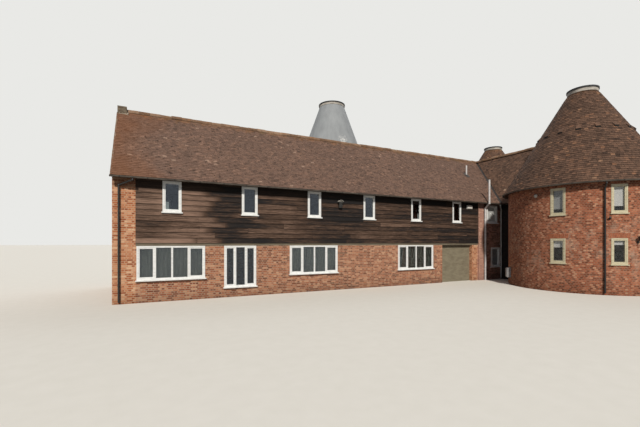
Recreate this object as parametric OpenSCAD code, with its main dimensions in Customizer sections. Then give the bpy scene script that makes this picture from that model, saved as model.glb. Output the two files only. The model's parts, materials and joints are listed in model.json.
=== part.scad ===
// Oast house: a long barn of two storeys, brick below and weatherboarded above,
// a link wing at its east end and three round kilns with cone roofs.
// Millimetres, +Z up. The front of the barn faces -Y and its long side runs along X.
// Plan sizes below start at the barn's front west corner at ground level, and the
// whole house is then moved so that its origin is the middle of its base.

/* [Barn] */
// Length of the barn between the outer faces of its gables
barn_length = 24380; // [22500:10:27000]
// Depth of the barn between the outer faces of its long walls
barn_depth = 6450; // [5800:10:7200]
// Thickness of a brick wall
brick_wall = 230; // [215:5:340]
// Thickness of the boarded timber wall of the upper storey
board_wall = 150; // [120:5:200]
// Height of the brickwork of the ground storey at the front and the rear
brick_height = 2130; // [2050:10:2300]
// Height of the timber plate on that brickwork
plate_height = 120; // [90:5:160]
// Width of the brick pier at the front west corner
pier_width = 755; // [500:5:1000]
// Width of the full-height brick pilaster where the boards end
pilaster_width = 430; // [300:5:600]
// How far that pilaster stands proud of the wall
pilaster_proud = 60; // [30:5:100]
// Width of the recess wall between the pilaster and the link wing
recess_width = 1640; // [1400:10:2000]

/* [Floors] */
// Thickness of the ground floor slab
slab_thickness = 100; // [75:5:150]
// Depth of the first floor, joists and boards together
floor_thickness = 200; // [150:5:250]
// Height of the underside of a kiln's first floor
kiln_floor_height = 2550; // [2500:10:2700]

/* [Roof] */
// Height of the tile edge at the barn's eaves
eaves_height = 4690; // [4600:10:5000]
// Slope of the barn's roof in degrees
barn_pitch = 44.5; // [42:0.5:48]
// Thickness of a roof square to its slope
roof_thickness = 160; // [120:5:200]
// How far the barn's eaves stand out from the wall
eaves_out = 290; // [200:10:350]
// How far the link's eaves stand out from the wall
link_eaves_out = 400; // [300:10:420]
// Height of the fascia board under a tile edge
fascia_height = 45; // [30:5:50]
// How far the roof runs past a gable
verge_out = 20; // [10:5:40]
// Radius of the half-round ridge tiles
ridge_radius = 130; // [100:5:150]
// How far the middle of a ridge tile lies under the point of the ridge
ridge_drop = 60; // [30:5:70]

/* [Gable stack] */
// Length of the brick stub on the west gable, along the ridge
stub_length = 360; // [250:10:500]
// Width of that stub across the ridge
stub_width = 480; // [300:10:600]
// How far the stub rises over the ridge
stub_rise = 135; // [120:5:400]
// How far the stub reaches down into the gable
stub_root = 520; // [450:10:700]

/* [Link wing] */
// Width of the link wing between the outer faces of its walls
link_width = 3260; // [3000:10:3500]
// Distance from the barn's front to the middle of the front kiln
link_reach = 4480; // [4300:10:4800]
// How far the front kiln's wall reaches east of the link's east wall
link_lap = 400; // [300:10:450]

/* [Kilns] */
// Outer radius of a kiln's brick wall
kiln_radius = 3390; // [3300:10:3500]
// Thickness of a kiln's brick wall
kiln_wall = 340; // [300:10:360]
// How far a kiln's wall bites into the barn that it stands against
kiln_bite = 330; // [300:10:330]
// How far a cone's tile edge stands out from the kiln's wall
kiln_eaves_out = 210; // [180:10:250]
// Thickness of a cone roof square to its slope
cone_thickness = 150; // [120:5:160]
// Slope of a tiled cone in degrees
cone_pitch = 59.3; // [58:0.1:62]
// How much higher the front kiln's tile edge lies than the barn's
front_cone_rise = 260; // [210:10:360]
// How much higher the east kiln's tile edge lies
east_cone_rise = 110; // [0:10:200]
// Radius at which a tiled cone is cut off
cone_top_radius = 650; // [550:10:750]
// Slope of the grey cone in degrees
grey_pitch = 70.2; // [69:0.1:72]
// How much higher the lower edge of the grey cone lies
grey_cone_rise = 550; // [450:10:700]
// Radius at which the grey cone is cut off
grey_top_radius = 975; // [850:5:1050]
// Distance from the barn's west end to the middle of the rear kiln
rear_kiln_place = 14160; // [13000:10:15000]
// How far the middle of the east kiln lies in front of the barn's rear wall
east_kiln_inset = 1080; // [900:10:1200]
// Height of the pale collar on a cone
collar_height = 160; // [100:5:250]
// How far a collar stands out from the cone's top
collar_out = 20; // [10:5:40]
// Thickness of the dark cap that closes a cone
cap_thickness = 120; // [40:5:140]
// How far a cap stands out from its collar
cap_out = 30; // [15:5:60]

/* [Barn windows] */
// Spacing of the upper windows
bay = 3050; // [2900:10:3200]
// Distance from the west end to the first window's middle
first_bay = 2010; // [1900:10:2200]
// Width of an upper window
upper_width = 680; // [500:10:800]
// Height of an upper window
upper_tall = 1190; // [1000:10:1300]
// Gap between an upper window's head and the soffit
upper_head_gap = 15; // [0:5:100]
// Width of a ground-floor window of four lights
wide_width = 2450; // [2200:10:2450]
// Height of the sill of that window over the ground
wide_sill = 850; // [700:10:1000]
// Width of the low window of three lights
low_width = 1350; // [1200:10:1500]
// Height of the sill of the low window over the ground
low_sill = 420; // [350:10:700]
// How far the low window's middle lies west of the second upper window's
low_shift = 395; // [200:5:500]
// Width of the window in the west gable
gable_width = 1200; // [900:10:1500]
// Distance from the barn's front to the gable window's middle
gable_place = 1500; // [1300:10:2000]
// Width of a window frame's bars, seen from outside
frame_bar = 65; // [50:1:80]
// Width of the bars between lights
mullion = 70; // [50:1:90]
// Depth of a window frame through the wall
frame_depth = 100; // [80:5:110]
// How far a frame stands proud of the wall
frame_proud = 35; // [10:5:40]
// Thickness of the double glass
glass_thickness = 24; // [20:1:28]
// Height of a projecting sill
sill_height = 45; // [30:5:60]
// How far a sill stands out from its frame
sill_out = 60; // [30:5:90]
// How far a sill runs past its frame at each end
sill_past = 40; // [20:5:70]
// Width of the bars of an opening sash, inside the frame
sash_bar = 42; // [30:1:60]
// How far a sash lies back from the face of its frame
sash_back = 12; // [5:1:20]

/* [Kiln windows] */
// Width of a kiln's windows
kiln_window_width = 600; // [500:10:700]
// Height of a kiln's ground-floor window
kiln_low_tall = 1120; // [1000:10:1150]
// Height of a kiln's ground-floor sill over the ground
kiln_low_sill = 1330; // [1200:10:1350]
// Height of a kiln's upper window
kiln_high_tall = 1230; // [1000:10:1250]
// Gap between an upper window's head and the front kiln's tile edge
kiln_head_gap = 190; // [150:10:300]
// Turn of the front kiln's first window from +X, in degrees
front_window_turn = -168.8; // [-170:0.1:-165]
// Turn between neighbouring windows of the front kiln, in degrees
front_window_step = 37.4; // [34:0.1:38]
// Turn between neighbouring windows of the rear kiln, in degrees
rear_window_step = 45; // [40:1:50]
// Turn between neighbouring windows of the east kiln, in degrees
east_window_step = 60; // [50:1:65]
// How far a kiln's window frame stands proud of the wall at its middle
kiln_frame_proud = 5; // [2:1:15]
// How far a kiln's sill stands out from its frame
kiln_sill_out = 45; // [20:5:70]

/* [Porch opening] */
// Width of the opening at the east end of the boarded front
porch_width = 2400; // [1800:10:2500]
// Width of the brick pier between the opening and the pilaster
porch_pier = 510; // [400:10:600]
// How far the pale panel stands back in the opening
panel_back = 190; // [100:5:190]
// Thickness of the pale panel
panel_thickness = 40; // [30:1:40]

/* [Recess windows] */
// Width of the upper recess window
recess_high_width = 960; // [800:10:1000]
// Height of the upper recess window
recess_high_tall = 1080; // [900:10:1100]
// Gap between its head and the soffit
recess_head_gap = 85; // [20:5:150]
// Distance from the pilaster to its middle
recess_high_place = 790; // [750:10:850]
// Width of the lower recess window
recess_low_width = 770; // [600:10:800]
// Height of the lower recess window
recess_low_tall = 1190; // [1000:10:1300]
// Height of its sill over the ground
recess_low_sill = 780; // [700:10:900]
// Distance from the pilaster to its middle
recess_low_place = 1110; // [1000:10:1120]

/* [Rainwater and soil pipes] */
// Outer radius of a half-round gutter
gutter_radius = 56; // [45:1:65]
// Wall of a gutter
gutter_wall = 5; // [3:1:8]
// How far a gutter runs past the verge
gutter_past = 40; // [20:5:60]
// Diameter of a downpipe
downpipe_bore = 68; // [60:1:80]
// Distance from a wall to the middle of a downpipe
downpipe_stand = 75; // [60:5:90]
// Drop from a gutter to the foot of a downpipe's swan neck
neck_drop = 240; // [180:10:300]
// Height of a downpipe's open foot over the ground
foot_height = 80; // [40:10:150]
// Distance from a gable to the outlet of the gutter nearest to it
outlet_place = 670; // [500:10:900]
// Distance from a gable to the downpipe below that outlet
downpipe_place = 215; // [150:5:300]
// Thickness of a pipe clip from top to bottom
clip_height = 30; // [20:5:50]
// Height of the lowest clip of a pipe
low_clip = 650; // [500:10:800]
// Distance between the clips of a pipe
clip_step = 1500; // [1200:10:1600]
// Diameter of the soil stack
stack_bore = 110; // [90:1:120]
// Rise of the soil stack's open top over the barn's tile edge
stack_rise = 1330; // [1000:10:1600]
// Distance from the pilaster to the middle of the soil stack
stack_place = 100; // [80:5:140]
// Distance from the gutter down to where the stack leans out round it
stack_drop = 244; // [200:1:400]
// Height over which it leans out
stack_lean = 250; // [200:10:300]
// How far it leans to the west
stack_shift = 120; // [0:10:150]
// Clear gap between the stack and the gutter
stack_gap = 15; // [5:1:30]
// Height of the roof vent over the tiles
vent_rise = 660; // [400:10:800]
// Diameter of the roof vent
vent_bore = 100; // [80:1:120]
// Distance from the pilaster to the roof vent
vent_place = 630; // [500:10:800]
// Distance of the roof vent in from the barn's front
vent_in = 1770; // [1500:10:2000]
// Turn of the front kiln's downpipe from +X, in degrees
kiln_pipe_turn = -140.3; // [-142:0.1:-138]
// How far a kiln's gutter ends short of the roof that it runs up to
kiln_gutter_gap = 60; // [30:5:120]

/* [Lamp and alarm box] */
// Distance from the third upper window's middle to the wall lamp
lamp_place = 1360; // [1200:10:1500]
// Distance from the soffit down to the lamp's underside
lamp_drop = 715; // [600:5:900]
// Width of the lamp's body
lamp_width = 180; // [120:10:200]
// Depth of the lamp's body
lamp_depth = 150; // [100:10:200]
// Height of the lamp's body
lamp_tall = 300; // [200:10:350]
// Radius of the lamp's arched hood
hood_radius = 140; // [120:5:160]
// Thickness of the hood
hood_wall = 12; // [6:1:20]
// Distance from the last upper window's middle to the alarm box
alarm_place = 1000; // [800:10:1100]
// Distance from the soffit down to the alarm box's underside
alarm_drop = 395; // [300:5:500]
// Width of the alarm box
alarm_width = 400; // [250:10:420]
// Height of the alarm box
alarm_tall = 230; // [150:10:260]
// Depth of the alarm box
alarm_depth = 100; // [60:5:120]

/* [Fittings on the front kiln] */
// Turn of the round light from +X, in degrees
round_light_turn = 174.5; // [172:0.1:178]
// Distance from the front kiln's tile edge down to the round light's middle
round_light_drop = 435; // [350:5:550]
// Diameter of the round light
round_light_bore = 170; // [120:5:200]
// Depth of the round light
round_light_depth = 85; // [60:5:120]
// Turn of the lantern from +X, in degrees
lantern_turn = -119.7; // [-122:0.1:-118]
// Height of the lantern's underside
lantern_height = 2270; // [2200:5:2400]
// Width of the lantern across its widest part
lantern_width = 170; // [130:5:200]
// Height of the lantern's glass
lantern_tall = 210; // [150:5:250]
// Distance from the wall to the lantern's middle
lantern_stand = 150; // [120:5:180]
// Turn of the small spotlight beside the downpipe, in degrees
spot_turn = -137.4; // [-137.8:0.1:-135]
// Height of the spotlight's middle
spot_height = 3290; // [3200:5:3400]
// Diameter of the spotlight's head
spot_bore = 90; // [60:5:110]
// Turn of the meter box from +X, in degrees
meter_turn = 138; // [136:0.5:150]
// Height of the meter box's underside over the ground
meter_height = 390; // [100:10:450]
// Width of the meter box
meter_width = 350; // [300:10:400]
// Height of the meter box
meter_tall = 530; // [500:10:650]
// Depth of the meter box
meter_depth = 200; // [150:10:230]

/* [Hidden] */

$fn = 48;
kiln_facets = 360;         // facets of a kiln's wide curves in a preview
over = 50;                 // overshoot of a cut past the face that it opens
seat = 0.3;                // gap between curved faces that bear on each other
socket_wall = 7;           // wall of a pipe's socket at a bend

link_x = barn_length - link_width;
link_ridge_x = barn_length - link_width / 2;
recess_x = link_x - recess_width;
pilaster_x = recess_x - pilaster_width;
porch_pier_x = pilaster_x - porch_pier;
porch_x = porch_pier_x - porch_width;
storey = brick_height + plate_height;

ridge_y = barn_depth / 2;
ridge_height = eaves_height + (ridge_y + eaves_out) * tan(barn_pitch);
soffit = eaves_height - fascia_height;
roof_drop = roof_thickness / cos(barn_pitch);
link_wall_half = link_width / 2;
link_eaves_half = link_wall_half + link_eaves_out;
link_pitch = atan((ridge_height - eaves_height) / link_eaves_half);
link_drop = roof_thickness / cos(link_pitch);
cone_radius = kiln_radius + kiln_eaves_out;

front_cone_eaves = eaves_height + front_cone_rise;
east_cone_eaves = front_cone_eaves + east_cone_rise;
grey_cone_eaves = front_cone_eaves + grey_cone_rise;
front_kiln = [barn_length + link_lap - kiln_radius, -link_reach];
kiln_shift = link_ridge_x - front_kiln[0];
rear_kiln = [rear_kiln_place, barn_depth + kiln_radius - kiln_bite];
east_kiln = [barn_length + kiln_radius - kiln_bite, barn_depth - east_kiln_inset];
gutter_ring = cone_radius + seat;
kiln_reach = gutter_ring + 2 * gutter_radius;

gutter_west = -verge_out - gutter_past;
west_end = min(gutter_west, -frame_proud - sill_out);
east_end = east_kiln[0] + kiln_reach;
front_end = front_kiln[1] - kiln_reach;
rear_end = rear_kiln[1] + kiln_reach;
middle = [(west_end + east_end) / 2, (front_end + rear_end) / 2, 0];

window_head = brick_height;
bays = floor((pilaster_x - first_bay - upper_width) / bay) + 1;
upper_sill = soffit - upper_head_gap - upper_tall;
recess_high_sill = soffit - recess_head_gap - recess_high_tall;
kiln_high_sill = front_cone_eaves - kiln_head_gap - kiln_high_tall;

// One opening: [middle along the wall, sill height, width, height, number of lights]
front_upper = [for (i = [0 : bays - 1])
    [first_bay + i * bay, upper_sill, upper_width, upper_tall, 1]];
front_lower = [
    for (i = [0 : 2 : bays - 2])
        [first_bay + i * bay, wide_sill, wide_width, window_head - wide_sill, 4],
    [first_bay + bay - low_shift, low_sill, low_width, window_head - low_sill, 3]
];
recess_openings = [
    [recess_x + recess_high_place, recess_high_sill, recess_high_width, recess_high_tall, 1],
    [recess_x + recess_low_place, recess_low_sill, recess_low_width, recess_low_tall, 1]
];
rear_bays = [for (i = [0 : bays]) if (abs(first_bay + i * bay - rear_kiln[0]) > bay * 1.2) i];
rear_upper = [for (i = rear_bays)
    [first_bay + i * bay, upper_sill, upper_width, upper_tall, 1]];
rear_lower = [for (i = rear_bays) if (i % 2 == 0)
    [first_bay + i * bay, wide_sill, wide_width, window_head - wide_sill, 4]];
gable_openings = [[gable_place, wide_sill, gable_width, window_head - wide_sill, 2]];

// Windows of a kiln: [turn from +X in degrees, sill height, height]
function kiln_storeys(turn) = [
    [turn, kiln_low_sill, kiln_low_tall],
    [turn, kiln_high_sill, kiln_high_tall]
];
front_kiln_openings = [for (i = [0 : 4]) each kiln_storeys(front_window_turn + i * front_window_step)];
rear_kiln_openings = [for (i = [-1 : 1]) each kiln_storeys(90 + i * rear_window_step)];
east_kiln_openings = [for (i = [-1 : 1]) each kiln_storeys(i * east_window_step)];

// Height of the underside of the barn's roof at a distance in from the wall's face
function barn_under(inset) =
    eaves_height + (eaves_out + inset) * tan(barn_pitch) - roof_drop;
soffit_width = (barn_under(0) - soffit) / tan(barn_pitch);  // of the board that closes the eaves
// The same for the link wing
function link_under(inset) =
    ridge_height - (link_wall_half - inset) * tan(link_pitch) - link_drop;
// Radius of the inside of a cone roof, at its tile edge
function cone_inner(pitch) = cone_radius - cone_thickness / sin(pitch);
// Height of the inside of a cone roof at a radius
function cone_under(eaves, pitch, radius) = eaves + (cone_inner(pitch) - radius) * tan(pitch);
// Height at which a cone is cut off
function cone_top(eaves, pitch, top) = eaves + (cone_radius - top) * tan(pitch);

cone_lift = 3000;          // height of a cone's lower lift over its tile edge
front_cone_top = cone_top(front_cone_eaves, cone_pitch, cone_top_radius);
east_cone_top = cone_top(east_cone_eaves, cone_pitch, cone_top_radius);
grey_cone_top = cone_top(grey_cone_eaves, grey_pitch, grey_top_radius);

gutter_lift = 5;           // rise of a gutter's rim over the soffit
gutter_level = soffit + gutter_lift;
gutter_mid = -eaves_out - gutter_radius;
gutter_low = gutter_level - gutter_radius;
rear_gutter_stop = 180;    // how far the rear gutter stops short of the east kiln's own
neck_lead = 60;            // straight drop below an outlet before the swan neck
clip_side = 6;             // how far a clip reaches past its pipe at each side
stack_x = recess_x + stack_place;
stack_bend = gutter_low - stack_drop;
stack_stand = downpipe_stand + (stack_bore - downpipe_bore) / 2;
stack_out = -eaves_out - 2 * gutter_radius - stack_bore / 2 - stack_gap;
vent_x = recess_x + vent_place;
vent_foot = eaves_height + (vent_in + eaves_out) * tan(barn_pitch);

// Turn at which a circle about a kiln meets something that lies a distance off its middle
function ring_turn(distance, radius) = acos(distance / radius);
// Height of the lowest point of a kiln's gutter
function ring_low(eaves) = eaves - fascia_height + gutter_lift - gutter_radius;

// The link's roof at the level of the front kiln's gutter, west and east of the kiln
link_at_gutter = (ridge_height - ring_low(front_cone_eaves)) / tan(link_pitch);
front_ring_east = ring_turn(kiln_shift + link_at_gutter, gutter_ring);
front_ring_west = ring_turn(kiln_shift - link_at_gutter, gutter_ring);
// The barn's rear slope at the level of the rear kiln's gutter
rear_eaves_off = rear_kiln[1] - barn_depth - eaves_out;
slope_at_gutter = (ring_low(grey_cone_eaves) - eaves_height) / tan(barn_pitch);
rear_ring_turn = 90 - ring_turn(rear_eaves_off + slope_at_gutter, kiln_reach);
east_ring_turn = ring_turn(east_kiln[0] - barn_length - verge_out, kiln_reach);
// Where the barn's rear gutter meets the rear kiln's wall, off the kiln's middle
rear_gutter_gap = sqrt(pow(kiln_radius, 2) - pow(rear_eaves_off - 2 * gutter_radius, 2))
    + kiln_gutter_gap;
rear_gutter_end = barn_length - 2 * gutter_radius - rear_gutter_stop;

// The house stands with the middle of its base on the origin
module place() {
    translate(-middle) children();
}

// Extrudes an outline drawn in Y and Z along X
module along_x(from, to) {
    translate([from, 0, 0]) rotate([90, 0, 90]) linear_extrude(to - from) children();
}

// Extrudes an outline drawn in X and Z along Y
module along_y(from, to) {
    translate([0, to, 0]) rotate([90, 0, 0]) linear_extrude(to - from) children();
}

// Turns a wall drawn facing -Y at the origin so that it is the kiln's wall at that turn
module at_turn(kiln, turn) {
    translate([kiln[0], kiln[1], 0]) rotate([0, 0, turn + 90]) translate([0, -kiln_radius, 0])
        children();
}

// A straight round pipe between two points
module pipe(from, to, size) {
    run = to - from;
    length = norm(run);
    translate(from) rotate([0, acos(run[2] / length), atan2(run[1], run[0])])
        cylinder(d = size, h = length);
}

// A bent round pipe through a list of points, with a round socket at each bend
module bent_pipe(points, size) {
    for (i = [0 : len(points) - 2])
        pipe(points[i], points[i + 1], size);
    for (i = [1 : len(points) - 2])
        translate(points[i]) sphere(d = size + 2 * socket_wall);
}

// Holes for a list of openings in a wall whose outer face is y = 0
module holes(openings, depth) {
    for (o = openings)
        translate([o[0] - o[2] / 2, -over, o[1]]) cube([o[2], depth + 2 * over, o[3]]);
}

// Width of one light of an opening, inside the frame's bars
function light_width(o) = (o[2] - 2 * frame_bar - (o[4] - 1) * mullion) / o[4];
// The first and the last light of a window open, so they have a sash inside the frame
function opens(o, i) = i == 0 || i == o[4] - 1;

// A block in one light of an opening, with its sides taken in by a margin
module light(o, i, margin, face, depth) {
    translate([o[0] - o[2] / 2 + frame_bar + i * (light_width(o) + mullion) + margin, face,
               o[1] + frame_bar + margin])
        cube([light_width(o) - 2 * margin, depth, o[3] - 2 * frame_bar - 2 * margin]);
}

// A window frame with its bars between the lights, and a sash in each light that opens
module window_frame(o, proud) {
    difference() {
        translate([o[0] - o[2] / 2, -proud, o[1]]) cube([o[2], frame_depth, o[3]]);
        for (i = [0 : o[4] - 1]) {
            light(o, i, opens(o, i) ? sash_bar : 0, -proud - over, frame_depth + 2 * over);
            if (opens(o, i))
                light(o, i, 0, -proud - over, over + sash_back);
        }
    }
}

// The glass of a window, in the middle of its frame
module window_glass(o, proud) {
    for (i = [0 : o[4] - 1])
        light(o, i, opens(o, i) ? sash_bar : 0, -proud + (frame_depth - glass_thickness) / 2,
              glass_thickness);
}

// A sill on the wall's face, for a frame that stands proud of that face
module sill(o, proud, out, gap) {
    translate([o[0] - o[2] / 2 - sill_past, -proud - out, o[1] - sill_height])
        cube([o[2] + 2 * sill_past, proud + out - gap, sill_height]);
}

// A white window with the projecting sill that its frame stands on
module sill_window(o) {
    window_frame(o, frame_proud);
    sill(o, frame_proud, sill_out, 0);
}

// Mirrors what is drawn at the front to the rear of the barn
module at_rear() {
    translate([0, barn_depth, 0]) mirror([0, 1, 0]) children();
}

// Turns what is drawn at the front to the west gable
module at_west() {
    mirror([1, 0, 0]) rotate([0, 0, 90]) children();
}

// The barn's outline without its eaves, used to trim what stands against it
module barn_body() {
    top = eaves_height + eaves_out * tan(barn_pitch);
    along_x(0, barn_length)
        polygon([[0, -over], [barn_depth, -over], [barn_depth, top], [ridge_y, ridge_height],
                 [0, top]]);
}

// A kiln's outline with its cone, used to trim what stands against it. The foot is the
// radius below the eaves: the wall's for walls, the cone's for roofs.
module kiln_body(kiln, eaves, pitch, top, foot) {
    edge = cone_radius + seat;
    low = eaves - fascia_height - seat;
    translate([kiln[0], kiln[1], 0]) rotate_extrude($fn = kiln_facets)
        polygon([[0, -over], [foot + seat, -over], [foot + seat, low], [edge, low],
                 [edge, eaves], [top + seat, cone_top(eaves, pitch, top)],
                 [0, cone_top(eaves, pitch, top)]]);
}

// The part of a kiln's wall line that lies outside the barn
module kiln_outside(kiln) {
    difference() {
        translate([kiln[0], kiln[1], -over])
            cylinder(r = kiln_radius + seat, h = ridge_height, $fn = kiln_facets);
        translate([-barn_length, -barn_depth, -2 * over])
            cube([2 * barn_length, 2 * barn_depth, 2 * ridge_height]);
    }
}

// Half of a kiln's wall, facing the given turn, with its windows. It stands in two lifts,
// one for each storey.
module kiln_half(kiln, eaves, pitch, facing, openings) {
    inner = kiln_radius - kiln_wall;
    difference() {
        intersection() {
            translate([kiln[0], kiln[1], 0]) rotate_extrude($fn = kiln_facets)
                polygon([[inner, 0], [kiln_radius, 0],
                         [kiln_radius, cone_under(eaves, pitch, kiln_radius) - seat],
                         [inner, cone_under(eaves, pitch, inner) - seat]]);
            translate([kiln[0], kiln[1], 0]) rotate([0, 0, facing])
                translate([0, -2 * kiln_radius, -over])
                    cube([2 * kiln_radius, 4 * kiln_radius, 2 * eaves]);
        }
        for (o = openings)
            at_turn(kiln, o[0]) translate([-kiln_window_width / 2, -over, o[1]])
                cube([kiln_window_width, kiln_wall + 2 * over, o[2]]);
        translate([kiln[0] - kiln_radius - over, kiln[1] - kiln_radius - over, kiln_floor_height])
            cube([2 * (kiln_radius + over), 2 * (kiln_radius + over), seat]);
        barn_body();
    }
}

// The shell of a cone roof in two halves and two lifts, cut off flat at its top
module cone_shell(kiln, eaves, pitch, top) {
    thick = cone_thickness / sin(pitch);
    foot = kiln_radius + seat;
    translate([kiln[0], kiln[1], 0]) difference() {
        rotate_extrude($fn = kiln_facets)
            polygon([[cone_radius, eaves], [top, cone_top(eaves, pitch, top)],
                     [top - thick, cone_top(eaves, pitch, top)],
                     [foot, cone_under(eaves, pitch, foot)],
                     [foot, eaves - fascia_height], [cone_radius, eaves - fascia_height]]);
        translate([-cone_radius - over, -seat / 2, 0])
            cube([2 * (cone_radius + over), seat, 2 * ridge_height]);
        translate([-cone_radius - over, -cone_radius - over, eaves + cone_lift])
            cube([2 * (cone_radius + over), 2 * (cone_radius + over), seat]);
    }
}

module collar(kiln, height, top, pitch) {
    translate([kiln[0], kiln[1], height]) rotate_extrude($fn = kiln_facets)
        translate([top - cone_thickness / sin(pitch), 0])
            square([cone_thickness / sin(pitch) + collar_out, collar_height]);
}

module cap(kiln, height, top) {
    r = top + collar_out + cap_out;
    translate([kiln[0], kiln[1], height + collar_height]) rotate_extrude($fn = kiln_facets)
        polygon([[0, 0], [r, 0], [r, cap_thickness * 0.6], [0, cap_thickness]]);
}

module kiln_disc(kiln, low, thick) {
    translate([kiln[0], kiln[1], low])
        cylinder(r = kiln_radius - kiln_wall - seat, h = thick, $fn = kiln_facets);
}

// Each opening of a kiln as an opening of one light in its own wall
module kiln_frames(kiln, openings) {
    for (o = openings)
        at_turn(kiln, o[0]) {
            light = [0, o[1], kiln_window_width, o[2], 1];
            window_frame(light, kiln_frame_proud);
            sill(light, kiln_frame_proud, kiln_sill_out, seat);
        }
}

module kiln_panes(kiln, openings) {
    for (o = openings)
        at_turn(kiln, o[0])
            window_glass([0, o[1], kiln_window_width, o[2], 1], kiln_frame_proud);
}

// A half-round gutter in section, hung on a fascia whose face is y = 0
module gutter_outline() {
    translate([-gutter_radius, 0]) difference() {
        circle(r = gutter_radius);
        circle(r = gutter_radius - gutter_wall);
        translate([-2 * gutter_radius, 0]) square([4 * gutter_radius, 2 * gutter_radius]);
    }
    translate([-gutter_wall, -1]) square([gutter_wall, fascia_height - gutter_lift]);
}

// A kiln's gutter from one turn to another, counterclockwise, short of what it runs up to
module ring_gutter(kiln, eaves, from, to) {
    gap = kiln_gutter_gap / gutter_ring * 180 / PI;
    translate([kiln[0], kiln[1], eaves - fascia_height + gutter_lift])
        rotate([0, 0, from + gap])
            rotate_extrude(angle = to - from - 2 * gap, $fn = kiln_facets)
                translate([gutter_ring, 0]) mirror([1, 0]) gutter_outline();
}

module ground_slab() {
    color("gainsboro") place()
        translate([brick_wall, brick_wall, 0])
            cube([barn_length - 2 * brick_wall, barn_depth - 2 * brick_wall, slab_thickness]);
}

module barn_first_floor() {
    color("burlywood") place() difference() {
        translate([brick_wall, board_wall, storey])
            cube([barn_length - 2 * brick_wall, barn_depth - 2 * board_wall, floor_thickness]);
        translate([0, 0, storey - over])
            cube([pier_width, brick_wall, floor_thickness + 2 * over]);
        translate([pilaster_x, 0, storey - over])
            cube([barn_length, brick_wall, floor_thickness + 2 * over]);
    }
}

// A gable wall's outline under the roof, drawn in Y and Z
module gable_outline() {
    polygon([[0, 0], [barn_depth, 0], [barn_depth, barn_under(0)],
             [ridge_y, barn_under(ridge_y)], [0, barn_under(0)]]);
}

// The room that the stub takes in the gable and the roof
module stub_room(past) {
    translate([-verge_out - past, ridge_y - stub_width / 2, ridge_height - stub_root])
        cube([stub_length + past, stub_width, stub_root + stub_rise + past]);
}

module west_gable() {
    color("sienna") place() difference() {
        along_x(0, brick_wall) gable_outline();
        at_west() holes(gable_openings, brick_wall);
        stub_room(over);
    }
}

module east_gable() {
    color("sienna") place() along_x(barn_length - brick_wall, barn_length) gable_outline();
}

// A front wall from the ground to the roof's underside, drawn in Y and Z
module full_wall_outline(thick) {
    polygon([[0, 0], [thick, 0], [thick, barn_under(thick)], [0, barn_under(0)]]);
}

// The pier at the west corner, the pier beside the porch opening and the pilaster
module brick_piers() {
    color("chocolate") place() {
        along_x(brick_wall, pier_width) full_wall_outline(brick_wall);
        translate([porch_pier_x, 0, 0]) cube([porch_pier, brick_wall, brick_height]);
        along_x(pilaster_x, recess_x)
            polygon([[-pilaster_proud, 0], [brick_wall, 0],
                     [brick_wall, barn_under(brick_wall)], [0, barn_under(0)], [0, soffit],
                     [-pilaster_proud, soffit]]);
    }
}

module front_brick_wall() {
    color("sienna") place() difference() {
        translate([pier_width, 0, 0]) cube([porch_x - pier_width, brick_wall, brick_height]);
        holes(front_lower, brick_wall);
    }
}

module wall_plates() {
    color("gray") place() {
        translate([pier_width, 0, brick_height])
            cube([pilaster_x - pier_width, brick_wall, plate_height]);
        at_rear() translate([brick_wall, 0, brick_height])
            cube([barn_length - 2 * brick_wall, brick_wall, plate_height]);
    }
}

// The boarded timber wall of the upper storey, drawn in Y and Z
module boarded_outline() {
    polygon([[0, storey], [board_wall, storey], [board_wall, barn_under(board_wall)],
             [0, barn_under(0)]]);
}

module front_boarded_wall() {
    color("#3a2a22") place() difference() {
        along_x(pier_width, pilaster_x) boarded_outline();
        holes(front_upper, board_wall);
    }
}

module porch_panel() {
    color("beige") place() translate([porch_x, panel_back, 0])
        cube([porch_width, panel_thickness, brick_height]);
}

module recess_wall() {
    color("sienna") place() difference() {
        along_x(recess_x, barn_length - brick_wall) full_wall_outline(brick_wall);
        holes(recess_openings, brick_wall);
    }
}

module rear_brick_wall() {
    color("sienna") place() at_rear() difference() {
        translate([brick_wall, 0, 0])
            cube([barn_length - 2 * brick_wall, brick_wall, brick_height]);
        holes(rear_lower, brick_wall);
    }
}

module rear_boarded_wall() {
    color("#3a2a22") place() at_rear() difference() {
        along_x(brick_wall, barn_length - brick_wall) boarded_outline();
        holes(rear_upper, board_wall);
    }
}

// One slope of the barn's roof between two places along it, with its eaves cut level
module barn_slope(from, to) {
    along_x(from, to)
        polygon([[-eaves_out, eaves_height], [ridge_y, ridge_height],
                 [ridge_y, ridge_height - roof_drop], [-soffit_width, soffit],
                 [-eaves_out, soffit]]);
}

// The board that closes the eaves from the slope's underside back to the wall
module eaves_board(from, to) {
    along_x(from, to)
        polygon([[2 * seat - soffit_width, soffit], [0, soffit], [0, barn_under(0) - 2 * seat]]);
}

// The barn's front slope where the link's roof stands in place of its eaves
module slope_by_link() {
    along_x(link_x + seat, barn_length + verge_out)
        polygon([[0, eaves_height + eaves_out * tan(barn_pitch)], [ridge_y, ridge_height],
                 [ridge_y, ridge_height - roof_drop], [0, barn_under(0)]]);
}

module front_roof() {
    color("#6f4e3f") place() {
        difference() {
            barn_slope(-verge_out, link_x);
            stub_room(over);
        }
        eaves_board(-verge_out, link_x);
        slope_by_link();
    }
}

module rear_roof() {
    color("#6f4e3f") place() difference() {
        at_rear() {
            barn_slope(-verge_out, barn_length + verge_out);
            eaves_board(-verge_out, barn_length + verge_out);
        }
        stub_room(over);
        kiln_outside(rear_kiln);
        kiln_outside(east_kiln);
    }
}

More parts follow.
